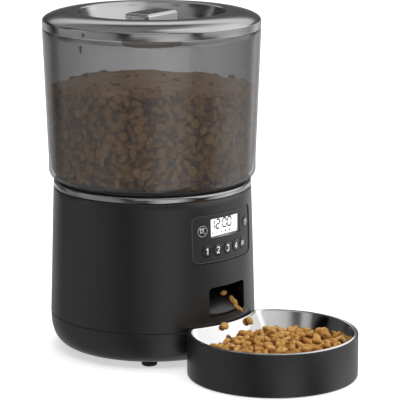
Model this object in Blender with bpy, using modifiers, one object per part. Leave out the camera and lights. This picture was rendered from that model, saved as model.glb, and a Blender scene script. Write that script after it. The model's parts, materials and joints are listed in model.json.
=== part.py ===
"""Automatic pet feeder: smoke hopper and lid on a black drum, with a drive inside and a bowl in front.

Driving dimensions are in millimetres. The drum stands on +Z with its outlet and panel towards -Y.
Shapes are drawn about the drum's axis, which BODY_Y moves back so that the whole part is centred.
"""

import math

import bmesh
import bpy
from mathutils import Vector

MM = 0.001
GAP = 0.3
TURN_STEPS = 48

# Drum
SEAM_Z = 35.0
HOUSING_TOP = 150.4
HOUSING_R_SEAM = 93.15
HOUSING_R_TOP = 89.5
WALL = 2.4
BASE_Z = 5.4
BASE_FLAT_R = 73.8
BASE_ROUND = 2.4
TONGUE_R = 90.2
TONGUE_TOP = 39.0
FOOT_R = 7.0
FOOT_CIRCLE = 68.0
FOOT_ANGLES = (50.0, -50.0, 132.0, -132.0)

# Outlet and panel, as heights and half widths on the front of the drum
OUTLET_Z = (45.2, 72.2)
OUTLET_HALF = 23.4
OUTLET_CORNER = 4.0
PANEL_Z = (94.1, 138.5)
PANEL_HALF = 39.0
PANEL_CORNER = 7.0
FASCIA_SUNK = 0.7
FASCIA_THICK = 2.2
DISPLAY_Z = (116.4, 133.4)
DISPLAY_HALF = 19.3
DISPLAY_FACE = 84.4
BOARD_FACE = 76.0
BUTTON_R = 5.2
BUTTON_FLANGE_R = 5.62
BUTTON_ROW_Z = 105.3
BUTTON_PITCH = 7.6
TIME_BUTTON = (-18.3, 123.9)
VOICE_BUTTON = (19.5, 123.4)

# Dispensing parts
CHAMBER_R = 50.8
CHAMBER_FLOOR = (117.5, 120.0)
DECK_Z = (148.2, 150.6)
DECK_R = 86.6
ROTOR_VANES = 6
SHAFT_R = 4.0
GEAR_MODULE = 1.0
OUTPUT_TEETH = 36
IDLER_TEETH = 28
PINION_TEETH = 12
GEAR_Z = (106.0, 112.0)
IDLER_DIRECTION = 90.0
PINION_DIRECTION = 36.87
PLATE_Z = (100.6, 103.6)
CHUTE_HALF = 23.6
CHUTE_WALL = 1.8
CHUTE_SLOPE = 0.92

# Hopper and lid
RING_Z = (150.7, 156.2)
HOPPER_FOOT_Z = 156.5
HOPPER_TOP = 293.0
HOPPER_R_LOW = 93.4
HOPPER_R_TOP = 97.7
HOPPER_WALL = 2.5
HOPPER_LOW_Z = 176.8
NECK_R = 50.6
LID_Z = 293.4
LID_R = 97.8
LID_CROWN = 308.5
DISH_R = 64.7
DISH_FLOOR = 292.0
HANDLE = (48.0, 26.0)
HANDLE_TURN = 8.3
LUG_ANGLES = (60.0, 180.0, 300.0)
LID_TWIST = 20.0

# Bowl
BOWL_Y = -142.5
BOWL_R = 74.9
BOWL_BITE_R = 93.6
BOWL_CORNER = 9.0
HOLDER_RIM = 38.4
STEEL_RIM = 38.9

# Batteries
CELL_R = 16.6
CELL_LENGTH = 60.0
CELL_PITCH = 34.5
BAY_Y = 8.0
BAY_INNER = (103.4, 62.0)
BAY_Z = (8.1, 44.6)
DOOR_EAR_Y = BAY_Y + 35.0
DOOR_SCREW_Y = BAY_Y + 37.0

# Screws
SCREW_PLACES = ((-60.0, -14.0), (60.0, -14.0), (-26.0, 60.0), (26.0, 60.0))
SCREW_R = 1.7
SCREW_HOLE_R = 2.1
SCREW_HEAD = 2.0
SCREW_SINK = 1.2
POST_TOP = 48.0

# Rear power socket
INLET_Z = 56.0

BODY_Y = (BOWL_R - BOWL_Y - LID_R) / 2


def housing_radius(z):
    """Outer radius of the drum's slightly tapered wall at height z."""
    share = (z - SEAM_Z) / (HOUSING_TOP - SEAM_Z)
    return HOUSING_R_SEAM + (HOUSING_R_TOP - HOUSING_R_SEAM) * share


def hopper_radius(z):
    share = (z - HOPPER_LOW_Z) / (HOPPER_TOP - HOPPER_LOW_Z)
    return HOPPER_R_LOW + (HOPPER_R_TOP - HOPPER_R_LOW) * share


def clear_scene():
    for obj in list(bpy.data.objects):
        bpy.data.objects.remove(obj, do_unlink=True)


def new_collection(name):
    collection = bpy.data.collections.new(name)
    bpy.context.scene.collection.children.link(collection)
    return collection


def make_material(name, color, roughness, metallic=0.0, alpha=1.0):
    material = bpy.data.materials.new(name)
    material.use_nodes = True
    shader = material.node_tree.nodes["Principled BSDF"]
    shader.inputs["Base Color"].default_value = (*color, 1.0)
    shader.inputs["Roughness"].default_value = roughness
    shader.inputs["Metallic"].default_value = metallic
    shader.inputs["Alpha"].default_value = alpha
    return material


clear_scene()
PARTS = new_collection("automatic_pet_feeder")
CUTTERS = new_collection("cutters")
BODY_AXIS = bpy.data.objects.new("body_axis", None)
BODY_AXIS.location = (0, BODY_Y * MM, 0)
PARTS.objects.link(BODY_AXIS)

BLACK_SATIN = make_material("black_satin_plastic", (0.012, 0.012, 0.013), 0.42)
BLACK_GLOSS = make_material("black_gloss_plastic", (0.008, 0.008, 0.009), 0.15)
SMOKE = make_material("smoke_plastic", (0.05, 0.05, 0.055), 0.08, alpha=0.45)
CHROME = make_material("chrome_plating", (0.75, 0.75, 0.77), 0.08, 1.0)
STEEL = make_material("polished_steel", (0.62, 0.62, 0.63), 0.12, 1.0)
GREY_STEEL = make_material("zinc_steel", (0.45, 0.45, 0.47), 0.35, 1.0)
WHITE_NYLON = make_material("white_nylon", (0.75, 0.74, 0.70), 0.45)
RUBBER = make_material("black_rubber", (0.015, 0.015, 0.015), 0.85)
SILICONE = make_material("grey_silicone", (0.45, 0.45, 0.44), 0.6)
LCD = make_material("display_glass", (0.85, 0.88, 0.85), 0.2)
BOARD_GREEN = make_material("circuit_board", (0.02, 0.12, 0.05), 0.5)
CELL_WRAP = make_material("cell_wrapper", (0.25, 0.16, 0.03), 0.35)
CLEAR = make_material("clear_plastic", (0.9, 0.92, 0.92), 0.05, alpha=0.3)


def add_object(name, mesh, material, place=(0, 0, 0)):
    """Links a mesh as a part, or as a cutter where it has no material, at a place about the drum's axis."""
    obj = bpy.data.objects.new(name, mesh)
    obj.parent = BODY_AXIS
    obj.location = Vector(place) * MM
    if material is None:
        CUTTERS.objects.link(obj)
        obj.hide_render = True
        obj.display_type = "WIRE"
    else:
        PARTS.objects.link(obj)
        mesh.materials.append(material)
    return obj


def turned(name, profile, material=None, place=(0, 0, 0), steps=TURN_STEPS):
    """A turned shape from (radius, height) points that run outwards, down the outside and back in."""
    mesh = bpy.data.meshes.new(name)
    last = len(profile) - 1
    edges = [(i, i + 1) for i in range(last)]
    if profile[0][0] > 0:
        edges.append((last, 0))
    mesh.from_pydata([(r * MM, 0, z * MM) for r, z in profile], edges, [])
    obj = add_object(name, mesh, material, place)
    screw = obj.modifiers.new("turn", "SCREW")
    screw.steps = steps
    screw.render_steps = steps
    screw.use_merge_vertices = True
    screw.merge_threshold = 0.00001
    return obj


def cylinder(name, radius, z_low, z_high, material=None, place=(0, 0, 0), steps=32):
    profile = [(0, z_high), (radius, z_high), (radius, z_low), (0, z_low)]
    return turned(name, profile, material, place, steps)


def block(name, size, centre, material=None, round_edge=0.0, turn=0.0):
    """A box with optional rounded edges, turned about the vertical through its own centre."""
    mesh = bpy.data.meshes.new(name)
    shape = bmesh.new()
    bmesh.ops.create_cube(shape, size=1.0)
    bmesh.ops.scale(shape, vec=Vector(size) * MM, verts=shape.verts)
    shape.to_mesh(mesh)
    shape.free()
    obj = add_object(name, mesh, material, centre)
    obj.rotation_euler.z = math.radians(turn)
    if round_edge:
        bevel = obj.modifiers.new("round", "BEVEL")
        bevel.width = round_edge * MM
        bevel.segments = 2
    return obj


def extruded(name, outlines, thickness, material=None, place=(0, 0, 0)):
    """A flat plate centred on its place, from closed outlines of which inner ones are holes."""
    curve = bpy.data.curves.new(name, "CURVE")
    curve.dimensions = "2D"
    curve.fill_mode = "BOTH"
    curve.extrude = thickness / 2 * MM
    for outline in outlines:
        spline = curve.splines.new("POLY")
        spline.points.add(len(outline) - 1)
        for point, (x, y) in zip(spline.points, outline):
            point.co = (x * MM, y * MM, 0, 1)
        spline.use_cyclic_u = True
    drawn = bpy.data.objects.new(name + "_outline", curve)
    PARTS.objects.link(drawn)
    graph = bpy.context.evaluated_depsgraph_get()
    mesh = bpy.data.meshes.new_from_object(drawn.evaluated_get(graph))
    bpy.data.objects.remove(drawn, do_unlink=True)
    shape = bmesh.new()
    shape.from_mesh(mesh)
    bmesh.ops.remove_doubles(shape, verts=shape.verts, dist=0.000001)
    bmesh.ops.recalc_face_normals(shape, faces=shape.faces)
    shape.to_mesh(mesh)
    shape.free()
    return add_object(name, mesh, material, place)


def combine(target, other, operation="DIFFERENCE"):
    boolean = target.modifiers.new(other.name, "BOOLEAN")
    boolean.operation = operation
    boolean.object = other
    return target


def polar(radius, angle):
    """(x, y) of a point at an angle in degrees from the front, positive towards +X."""
    turn = math.radians(angle)
    return radius * math.sin(turn), -radius * math.cos(turn)


def arc(cx, cy, radius, start, end, count):
    """Points on an arc, from a start to an end angle in degrees from +X."""
    angles = [math.radians(start + (end - start) * i / (count - 1)) for i in range(count)]
    return [(cx + radius * math.cos(a), cy + radius * math.sin(a)) for a in angles]


def circle(radius, count, cx=0.0, cy=0.0):
    return arc(cx, cy, radius, 0, 360, count + 1)[:-1]


def rounded_rectangle(half_width, half_height, corner, count=5):
    points = []
    for sx, sy, start in ((1, 1, 0), (-1, 1, 90), (-1, -1, 180), (1, -1, 270)):
        cx = sx * (half_width - corner)
        cy = sy * (half_height - corner)
        points += arc(cx, cy, corner, start, start + 90, count)
    return points


def front_prism(name, half_width, heights, corner, depth=40.0, y=-90.0):
    """A cutter with a rounded rectangular section that runs through the front of the drum along Y."""
    half_height = (heights[1] - heights[0]) / 2
    middle = (heights[0] + heights[1]) / 2
    outline = rounded_rectangle(half_width, half_height, corner)
    obj = extruded(name, [outline], depth, place=(0, y, middle))
    obj.rotation_euler.x = math.radians(90)
    return obj


def base_round(outer_r, low_r, z_top, z_low, count):
    """The drum's rounded lower edge, a superellipse quarter, from the wall down to the flat."""
    points = []
    for i in range(count):
        turn = math.pi / 2 * i / (count - 1)
        r = low_r + (outer_r - low_r) * math.cos(turn) ** (2 / BASE_ROUND)
        z = z_top - (z_top - z_low) * math.sin(turn) ** (2 / BASE_ROUND)
        points.append((r, z))
    return points


def make_base_cover():
    rim = SEAM_Z - GAP / 2
    inside = base_round(TONGUE_R - 2.0, BASE_FLAT_R - 1.8, rim, BASE_Z + WALL, 5)
    outside = base_round(93.0, BASE_FLAT_R, rim, BASE_Z, 8)
    tongue = [(TONGUE_R - 2.0, TONGUE_TOP), (TONGUE_R, TONGUE_TOP), (TONGUE_R, rim)]
    profile = [(0, BASE_Z + WALL)] + inside[::-1] + tongue + outside + [(0, BASE_Z)]
    cover = turned("base_cover", profile, BLACK_SATIN)
    combine(cover, block("battery_door_hole", (101.6, 60.8, 8), (0, BAY_Y, BASE_Z + 1), None))
    combine(cover, block("door_ear_hole", (14.8, 14.0, 8), (0, DOOR_EAR_Y, BASE_Z + 1), None))
    for index, (x, y) in enumerate(SCREW_PLACES, 1):
        combine(cover, stepped_hole(f"base_screw_hole_{index}", x, y))


def stepped_hole(name, x, y):
    """A cutter for a screw's shank and for the sink that its head sits in."""
    sink = BASE_Z + SCREW_SINK
    profile = [(0, 20), (SCREW_HOLE_R, 20), (SCREW_HOLE_R, sink), (4.0, sink), (4.0, 0), (0, 0)]
    return turned(name, profile, None, (x, y, 0), 16)


def make_screw(name, x, y, head_z):
    """A pan-head screw that points up, with a cross recess in its head."""
    under, tip = head_z + SCREW_HEAD, head_z + 14
    profile = [(0, tip), (1.4, tip), (SCREW_R, tip - 1.5), (SCREW_R, under), (3.6, under)]
    profile += [(3.6, head_z + 0.8), (2.6, head_z), (0, head_z)]
    screw = turned(name, profile, GREY_STEEL, (x, y, 0), 12)
    for index, size in enumerate(((3.4, 0.7, 1.6), (0.7, 3.4, 1.6)), 1):
        combine(screw, block(f"{name}_slot_{index}", size, (x, y, head_z), None))


def make_screws():
    for index, place in enumerate(SCREW_PLACES, 1):
        make_screw(f"base_screw_{index}", *place, BASE_Z + SCREW_SINK - GAP - SCREW_HEAD)
    make_screw("battery_door_screw", 0.0, DOOR_SCREW_Y, BASE_Z + SCREW_SINK - GAP - SCREW_HEAD)


def make_feet():
    for index, angle in enumerate(FOOT_ANGLES, 1):
        top = BASE_Z - GAP
        profile = [(0, top), (FOOT_R, top), (FOOT_R, 1.2), (FOOT_R - 1.2, 0), (0, 0)]
        turned(f"foot_{index}", profile, RUBBER, (*polar(FOOT_CIRCLE, angle), 0), 20)


def make_housing():
    low = SEAM_Z + GAP / 2
    shelf = DECK_Z[0] - GAP
    profile = [
        (HOUSING_R_TOP - WALL, HOUSING_TOP),
        (HOUSING_R_TOP, HOUSING_TOP),
        (housing_radius(low), low),
        (housing_radius(low) - WALL, low),
        (housing_radius(shelf - 3.5) - WALL, shelf - 3.5),
        (HOUSING_R_TOP - 5.0, shelf - 2.0),
        (HOUSING_R_TOP - 5.0, shelf),
        (HOUSING_R_TOP - WALL, shelf),
    ]
    shell = turned("housing_shell", profile, BLACK_SATIN)
    combine(shell, front_prism("outlet_hole", OUTLET_HALF, OUTLET_Z, OUTLET_CORNER))
    combine(shell, front_prism("panel_hole", PANEL_HALF, PANEL_Z, PANEL_CORNER))
    inlet = cylinder("inlet_hole", 5.6, 0, 30, None, (0, 80, INLET_Z), 24)
    inlet.rotation_euler.x = math.radians(-90)
    combine(shell, inlet)
    for index, place in enumerate(SCREW_PLACES, 1):
        add_screw_post(shell, index, *place)


def add_screw_post(shell, index, x, y):
    """A post for a base screw, carried by a rib from the drum's wall above the base cover."""
    low = BASE_Z + WALL + GAP
    rib_low, rib_high = TONGUE_TOP + 1.0, POST_TOP - 1.0
    angle = math.degrees(math.atan2(x, -y))
    reach = math.hypot(x, y)
    middle = (reach + 91.0) / 2
    rib_size = (2.2, 91.0 - reach, rib_high - rib_low)
    centre = (*polar(middle, angle), (rib_high + rib_low) / 2)
    rib = block(f"post_rib_{index}", rib_size, centre, None, turn=angle)
    combine(shell, rib, "UNION")
    combine(shell, cylinder(f"post_{index}", 4.2, low, POST_TOP, None, (x, y, 0), 16), "UNION")
    combine(shell, cylinder(f"post_hole_{index}", SCREW_HOLE_R, 0, 24, None, (x, y, 0), 16))


def make_power_inlet():
    """A barrel socket whose flange sits in the rear hole; +Z of its profile points out of the back."""
    outer = housing_radius(INLET_Z) + 0.8
    profile = [(1.0, outer - 3), (1.0, outer - 10), (2.9, outer - 10), (2.9, outer)]
    profile += [(5.2, outer), (5.2, outer - 4), (4.4, outer - 4), (4.4, outer - 14), (0, outer - 14)]
    socket = turned("power_inlet", [(0, outer - 3)] + profile, BLACK_GLOSS, (0, 0, INLET_Z), 24)
    socket.rotation_euler.x = math.radians(-90)


def make_trim_ring():
    low, high = RING_Z
    inner, outer = 86.1, HOUSING_R_TOP
    profile = [(inner, high), (outer - 1.6, high), (outer - 0.4, high - 0.7), (outer, high - 2.0)]
    profile += [(outer, low + 0.8), (outer - 0.5, low), (inner, low)]
    turned("trim_ring", profile, CHROME)


def make_chamber():
    """The deck under the hopper, with the round well that the rotor turns in."""
    floor_low, floor_high = CHAMBER_FLOOR
    wall_r = CHAMBER_R + 2.2
    profile = [
        (0, floor_high),
        (CHAMBER_R, floor_high),
        (CHAMBER_R, DECK_Z[1]),
        (DECK_R, DECK_Z[1]),
        (DECK_R, DECK_Z[0]),
        (wall_r, DECK_Z[0]),
        (wall_r, floor_low),
        (0, floor_low),
    ]
    chamber = turned("dispensing_chamber", profile, BLACK_SATIN)
    combine(chamber, block("drop_hole", (2 * CHUTE_HALF - 4, 21.0, 20), (0, -37.0, floor_low), None))
    combine(chamber, cylinder("shaft_hole", SHAFT_R + GAP, 110, 130, None, steps=32))


def make_rotor():
    """Vanes on a hub, drawn as one star outline round the shaft hole."""
    half = 1.3
    hub_r, tip_r = 12.0, CHAMBER_R - 0.7
    star = []
    for vane in range(ROTOR_VANES):
        middle = 360 / ROTOR_VANES * (vane + 0.5)
        for radius, side in ((hub_r, -1), (tip_r, -1), (tip_r, 1), (hub_r, 1)):
            swing = math.degrees(math.asin(half / radius))
            angle = math.radians(middle + side * swing)
            star.append((radius * math.cos(angle), radius * math.sin(angle)))
    low, high = CHAMBER_FLOOR[1] + 0.5, DECK_Z[0] - 0.8
    place = (0, 0, (low + high) / 2)
    extruded("portion_rotor", [star, circle(SHAFT_R + GAP, 24)], high - low, WHITE_NYLON, place)


def make_shaft_and_stirrer():
    cylinder("rotor_shaft", SHAFT_R, PLATE_Z[0] + 0.4, 156.0, GREY_STEEL, steps=24)
    low = DECK_Z[0] - 0.4
    profile = [(0, 160.0), (6.0, 160.0), (8.0, 158.0), (8.0, low), (SHAFT_R + GAP, low)]
    profile += [(SHAFT_R + GAP, 156.4), (0, 156.4)]
    stirrer = turned("stirrer", profile, WHITE_NYLON, steps=24)
    for index, angle in enumerate((20.0, 200.0), 1):
        arm = cylinder(f"stirrer_arm_{index}", 2.6, 5.0, 40.0, None, (0, 0, 154.5), 12)
        arm.rotation_euler = (math.radians(65), 0, math.radians(angle))
        combine(stirrer, arm, "UNION")


def gear_outline(teeth, phase):
    """Straight-flanked teeth with backlash; phase is the direction of one tooth in degrees from +X."""
    pitch_r = teeth * GEAR_MODULE / 2
    root_r, tip_r = pitch_r - 1.15 * GEAR_MODULE, pitch_r + 0.85 * GEAR_MODULE
    pitch = 360 / teeth
    points = []
    for tooth in range(teeth):
        middle = phase + pitch * tooth
        for radius, share in ((root_r, -0.31), (tip_r, -0.115), (tip_r, 0.115), (root_r, 0.31)):
            angle = math.radians(middle + pitch * share)
            points.append((radius * math.cos(angle), radius * math.sin(angle)))
    return points


def meshed_phase(teeth, phase, next_teeth, direction):
    """The tooth direction of the next gear, whose centre lies in a direction from this one."""
    ahead = (phase - direction) % (360 / teeth)
    return direction + 180 - ahead * teeth / next_teeth + 180 / next_teeth


def gear_centre(start, teeth, next_teeth, direction):
    distance = (teeth + next_teeth) * GEAR_MODULE / 2
    turn = math.radians(direction)
    return start[0] + distance * math.cos(turn), start[1] + distance * math.sin(turn)


IDLER_AT = gear_centre((0, 0), OUTPUT_TEETH, IDLER_TEETH, IDLER_DIRECTION)
PINION_AT = gear_centre(IDLER_AT, IDLER_TEETH, PINION_TEETH, PINION_DIRECTION)


def make_gears():
    low, high = GEAR_Z
    middle = (low + high) / 2
    idler_phase = meshed_phase(OUTPUT_TEETH, 0.0, IDLER_TEETH, IDLER_DIRECTION)
    pinion_phase = meshed_phase(IDLER_TEETH, idler_phase, PINION_TEETH, PINION_DIRECTION)
    gears = (
        ("output_gear", OUTPUT_TEETH, 0.0, (0, 0), SHAFT_R + GAP),
        ("idler_gear", IDLER_TEETH, idler_phase, IDLER_AT, 2.5 + GAP),
        ("motor_pinion", PINION_TEETH, pinion_phase, PINION_AT, 1.5 + GAP),
    )
    for name, teeth, phase, (x, y), bore in gears:
        outlines = [gear_outline(teeth, phase), circle(bore, 20)]
        extruded(name, outlines, high - low, WHITE_NYLON, (x, y, middle))


def make_motor_and_plate():
    plate_low, plate_high = PLATE_Z
    size = (58.0, 76.0)
    centre = (5.0, 23.0)
    outline = [(x + centre[0], y + centre[1]) for x, y in rounded_rectangle(size[0] / 2, size[1] / 2, 8)]
    holes = [circle(SHAFT_R + GAP, 20), circle(3.5, 20, *PINION_AT)]
    thickness = plate_high - plate_low
    place = (0, 0, (plate_low + plate_high) / 2)
    plate = extruded("gear_plate", [outline] + holes, thickness, GREY_STEEL, place)
    post_top = CHAMBER_FLOOR[0] - GAP
    for index, spot in enumerate(((-20, 14), (27, 18), (-16, 46)), 1):
        post = cylinder(f"plate_post_{index}", 2.6, plate_low + 1, post_top, None, (*spot, 0), 16)
        combine(plate, post, "UNION")
    cylinder("idler_pin", 2.5, plate_high + GAP, GEAR_Z[1] + 2.0, GREY_STEEL, (*IDLER_AT, 0), 20)
    top = plate_low - GAP
    profile = [(0, GEAR_Z[1] + 0.6), (1.5, GEAR_Z[1] + 0.6), (1.5, top), (13.2, top), (14.0, top - 0.8)]
    profile += [(14.0, top - 12), (12.4, top - 12.6), (12.4, 63.0), (11.4, 62.0), (4.0, 62.0)]
    profile += [(4.0, 60.0), (0, 60.0)]
    turned("gear_motor", profile, GREY_STEEL, (*PINION_AT, 0), 20)


def chute_floor(r):
    return OUTLET_Z[0] + 0.2 + CHUTE_SLOPE * (90.0 - r)


def chute_outline(wall):
    """Side view of the chute as (radius, height), grown outwards by a wall; wall 0 is the passage."""
    down = wall * math.hypot(1, CHUTE_SLOPE)
    top = CHAMBER_FLOOR[0] - GAP + (0 if wall else 4)
    end = 96.0
    rear, front = 26.5 - wall, 47.5 + wall
    return [
        (rear, top),
        (rear, chute_floor(rear) - down),
        (end, chute_floor(end) - down),
        (end, OUTLET_Z[1] - 2.0 + wall * 1.15),
        (front + 2.0, 96.0 + wall * 0.5),
        (front, top),
    ]


def make_chute():
    """A sloping square duct, ended by the drum's inner wall."""
    solids = []
    for name, wall, material in (("food_chute", CHUTE_WALL, BLACK_GLOSS), ("chute_bore", 0, None)):
        solid = extruded(name, [chute_outline(wall)], 2 * (CHUTE_HALF + wall), material)
        solid.rotation_euler = (math.radians(90), 0, math.radians(-90))
        solids.append(solid)
    drum = cylinder("chute_end", HOUSING_R_TOP - WALL + 1.9, 0, 140, None, steps=TURN_STEPS)
    chute = combine(solids[0], solids[1])
    combine(chute, drum, "INTERSECT")


def wall_sector(name, sunk, thickness, heights, material):
    """A turned slice of wall that follows the drum's taper, sunk below its surface."""
    low, high = heights
    top, foot = housing_radius(high) - sunk, housing_radius(low) - sunk
    profile = [(top - thickness, high), (top, high), (foot, low), (foot - thickness, low)]
    return turned(name, profile, material, steps=72)


def make_fascia():
    fit = 0.35
    heights = (PANEL_Z[0] - 4, PANEL_Z[1] + 4)
    fascia = wall_sector("panel_fascia", FASCIA_SUNK, FASCIA_THICK, heights, BLACK_SATIN)
    heights = (PANEL_Z[0] + fit, PANEL_Z[1] - fit)
    blank = front_prism("fascia_blank", PANEL_HALF - fit, heights, PANEL_CORNER - fit)
    combine(fascia, blank, "INTERSECT")
    combine(fascia, front_prism("display_hole", DISPLAY_HALF, DISPLAY_Z, 0.8))
    for name, angle, z in BUTTONS:
        hole = cylinder(f"{name}_hole", BUTTON_R + 0.25, 60, 110, None, (0, 0, z), 20)
        hole.rotation_euler = (math.radians(90), 0, math.radians(angle))
        combine(fascia, hole)


def button_places():
    row = ("meal_button_1", "meal_button_2", "meal_button_3", "meal_button_4", "ok_button")
    places = [(name, BUTTON_PITCH * (index - 2), BUTTON_ROW_Z) for index, name in enumerate(row)]
    return places + [("time_button", *TIME_BUTTON), ("voice_button", *VOICE_BUTTON)]


BUTTONS = button_places()


def make_buttons():
    """Each cap stands proud of the fascia, keeps a flange behind it and ends in a stem over its switch."""
    for name, angle, z in BUTTONS:
        face = housing_radius(z) - FASCIA_SUNK + 0.5
        flange = housing_radius(z) - FASCIA_SUNK - FASCIA_THICK - 0.65
        stem = flange - 1.9
        profile = [(0, face), (BUTTON_R - 0.6, face), (BUTTON_R, face - 0.5), (BUTTON_R, flange)]
        profile += [(BUTTON_FLANGE_R, flange), (BUTTON_FLANGE_R, flange - 0.8), (1.8, flange - 0.8)]
        profile += [(1.8, stem), (0, stem)]
        button = turned(name, profile, BLACK_GLOSS, (0, 0, z), 20)
        button.rotation_euler = (math.radians(90), 0, math.radians(angle))


def make_display_and_board():
    middle = (DISPLAY_Z[0] + DISPLAY_Z[1]) / 2
    height = DISPLAY_Z[1] - DISPLAY_Z[0]
    face = -DISPLAY_FACE
    block("display_window", (2 * DISPLAY_HALF - 0.6, 1.0, height - 0.6), (0, face - 0.8, middle), CLEAR)
    block("display_module", (2 * DISPLAY_HALF + 1.0, 3.6, height + 3.4), (0, face + 1.8, middle), LCD)
    board = block("control_board", (68.0, 1.6, 41.0), (0, -BOARD_FACE + 0.8, 116.6), BOARD_GREEN)
    for name, angle, z in BUTTONS:
        x, _ = polar(82.0, angle)
        switch = block(f"{name}_switch", (5.0, 3.0, 5.0), (x, -BOARD_FACE - 0.7, z), None)
        combine(board, switch, "UNION")
    connector = block("board_connector", (14.0, 6.0, 5.0), (0, -BOARD_FACE + 4.0, 101.0), None)
    combine(board, connector, "UNION")


def make_battery_bay():
    low, high = BAY_Z
    outer = (BAY_INNER[0] + 3.0, BAY_INNER[1] + 3.0, high - low)
    bay = block("battery_bay", outer, (0, BAY_Y, (low + high) / 2), BLACK_SATIN)
    inner = (BAY_INNER[0], BAY_INNER[1], high - low)
    combine(bay, block("bay_inside", inner, (0, BAY_Y, (low + high) / 2 - 1.6), None))
    combine(bay, block("bay_lead_slot", (8.0, 10.0, 6.0), (30.0, BAY_Y + 32.0, high - 6.0), None))
    combine(bay, block("bay_lug", (10.0, 12.0, 10.0), (0, BAY_Y + 37.5, low + 5.0), None), "UNION")
    combine(bay, cylinder("bay_lug_hole", SCREW_HOLE_R, 0, 30, None, (0, DOOR_SCREW_Y, 0), 16))
    for index in range(3):
        half = CELL_LENGTH / 2
        profile = [(0, half), (4.6, half), (4.6, half - 1.6), (CELL_R - 1.0, half - 1.8)]
        profile += [(CELL_R, half - 2.8), (CELL_R, -half + 0.8), (CELL_R - 0.8, -half), (0, -half)]
        x = CELL_PITCH * (index - 1)
        cell = turned(f"battery_cell_{index + 1}", profile, CELL_WRAP, (x, BAY_Y, low + 0.9 + CELL_R), 20)
        cell.rotation_euler.x = math.radians(90 if index == 1 else -90)


def make_battery_door():
    door = block("battery_door", (100.8, 60.0, 2.2), (0, BAY_Y, BASE_Z + 1.1), BLACK_SATIN)
    combine(door, block("door_ear", (14.0, 13.2, 1.9), (0, DOOR_EAR_Y, BASE_Z + 1.15), None), "UNION")
    for index in range(5):
        groove = block(f"door_groove_{index}", (24.0, 1.0, 1.2), (0, BAY_Y - 20 + 2.5 * index, BASE_Z), None)
        combine(door, groove)
    combine(door, stepped_hole("door_screw_hole", 0, DOOR_SCREW_Y))


def make_hopper():
    """One turned wall: bucket side, rounded foot, locating skirt, sloping floor and neck."""
    wall = HOPPER_WALL
    skirt = (83.4, 85.6)
    low = DECK_Z[1] + GAP
    round_foot = arc(HOPPER_R_LOW - 7.2, HOPPER_FOOT_Z + 9.5, 7.4, 0, -62, 4)
    profile = [
        (hopper_radius(HOPPER_TOP) - wall, HOPPER_TOP),
        (hopper_radius(HOPPER_TOP), HOPPER_TOP),
        (hopper_radius(HOPPER_LOW_Z), HOPPER_LOW_Z),
        *round_foot,
        (skirt[1] + 1.2, HOPPER_FOOT_Z),
        (skirt[1], HOPPER_FOOT_Z),
        (skirt[1], low),
        (skirt[0], low),
        (skirt[0], HOPPER_FOOT_Z + 1.8),
        (NECK_R + 2.2, HOPPER_FOOT_Z - 3.2),
        (NECK_R + 2.2, low),
        (NECK_R, low),
        (NECK_R, HOPPER_FOOT_Z - 2.4),
        (86.0, HOPPER_FOOT_Z + 6.6),
        (89.6, HOPPER_FOOT_Z + 10.0),
        (hopper_radius(HOPPER_LOW_Z) - wall, HOPPER_LOW_Z),
    ]
    hopper = turned("hopper", profile, SMOKE)
    for lug in LUG_ANGLES:
        for index, angle in enumerate((lug - 8.5, lug + 8.5 + LID_TWIST)):
            x, y = polar(94.9, angle)
            stop = block(f"lug_stop_{int(lug)}_{index}", (2.4, 4.6, 16.0), (x, y, 279.0), None, turn=angle)
            combine(hopper, stop, "UNION")


def make_lid():
    """A domed rim round a dish, with a plug that drops into the hopper and carries three lugs."""
    crown = arc(81.0, LID_CROWN - 30.0, 30.0, 112.0, 76.0, 5)
    shoulder = base_round(LID_R, 89.5, 299.7, 307.0, 5)[::-1]
    lip = [(0, DISH_FLOOR), (52.0, DISH_FLOOR), (57.5, DISH_FLOOR + 1.6), (62.0, DISH_FLOOR + 7.0)]
    lip += [(DISH_R, 304.8), (66.6, 307.2)]
    plug = (90.2, 92.2)
    under = [(LID_R - 0.4, LID_Z), (plug[1], LID_Z), (plug[1], 284.0), (plug[0], 284.0), (plug[0], 292.0)]
    under += [(94.0, 299.0), (86.0, 304.6), (72.0, 305.6), (67.0, 303.0), (60.0, 291.4), (55.0, 289.6)]
    profile = lip + crown[1:] + shoulder + [(LID_R, LID_Z + 0.4)] + under + [(0, 289.6)]
    lid = turned("lid", profile, SMOKE)
    for angle in LUG_ANGLES:
        x, y = polar(93.1, angle)
        lug = block(f"lug_{int(angle)}", (11.0, 2.6, 2.8), (x, y, 285.6), None, turn=angle)
        combine(lid, lug, "UNION")
    x, y = polar(LID_R, -28.0)
    combine(lid, block("lid_notch", (7.0, 1.6, 2.4), (x, y, LID_Z), None, turn=-28.0))


def make_seal():
    profile = [(92.5, 291.6), (93.4, 291.6), (94.5, 290.6), (93.6, 289.9), (94.5, 289.2), (93.4, 288.4)]
    profile += [(92.5, 288.4)]
    turned("lid_seal", profile, SILICONE)


def make_handle():
    """A hollow grip across the dish, flush with the lid's rim."""
    low = DISH_FLOOR + GAP
    high = 307.3
    centre = (0, 0, (low + high) / 2)
    grip = block("lid_handle", (*HANDLE, high - low), centre, SMOKE, 2.0, HANDLE_TURN)
    inner = (HANDLE[0] - 6.0, HANDLE[1] - 6.0, high - low)
    combine(grip, block("handle_inside", inner, (0, 0, centre[2] - 3.0), None, turn=HANDLE_TURN))


def make_drying_basket():
    high = 289.6 - GAP
    profile = [(0, 279.2), (25.4, 279.2), (25.4, high), (28.6, high), (28.6, high - 1.5), (27.0, high - 1.5)]
    profile += [(27.0, 277.6), (0, 277.6)]
    turned("drying_agent_basket", profile, WHITE_NYLON, steps=28)
    profile = [(0, 286.6), (21.0, 286.6), (23.8, 285.0), (24.4, 282.6), (23.4, 279.7), (0, 279.7)]
    turned("drying_agent_pack", profile, SILICONE, steps=20)


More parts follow.
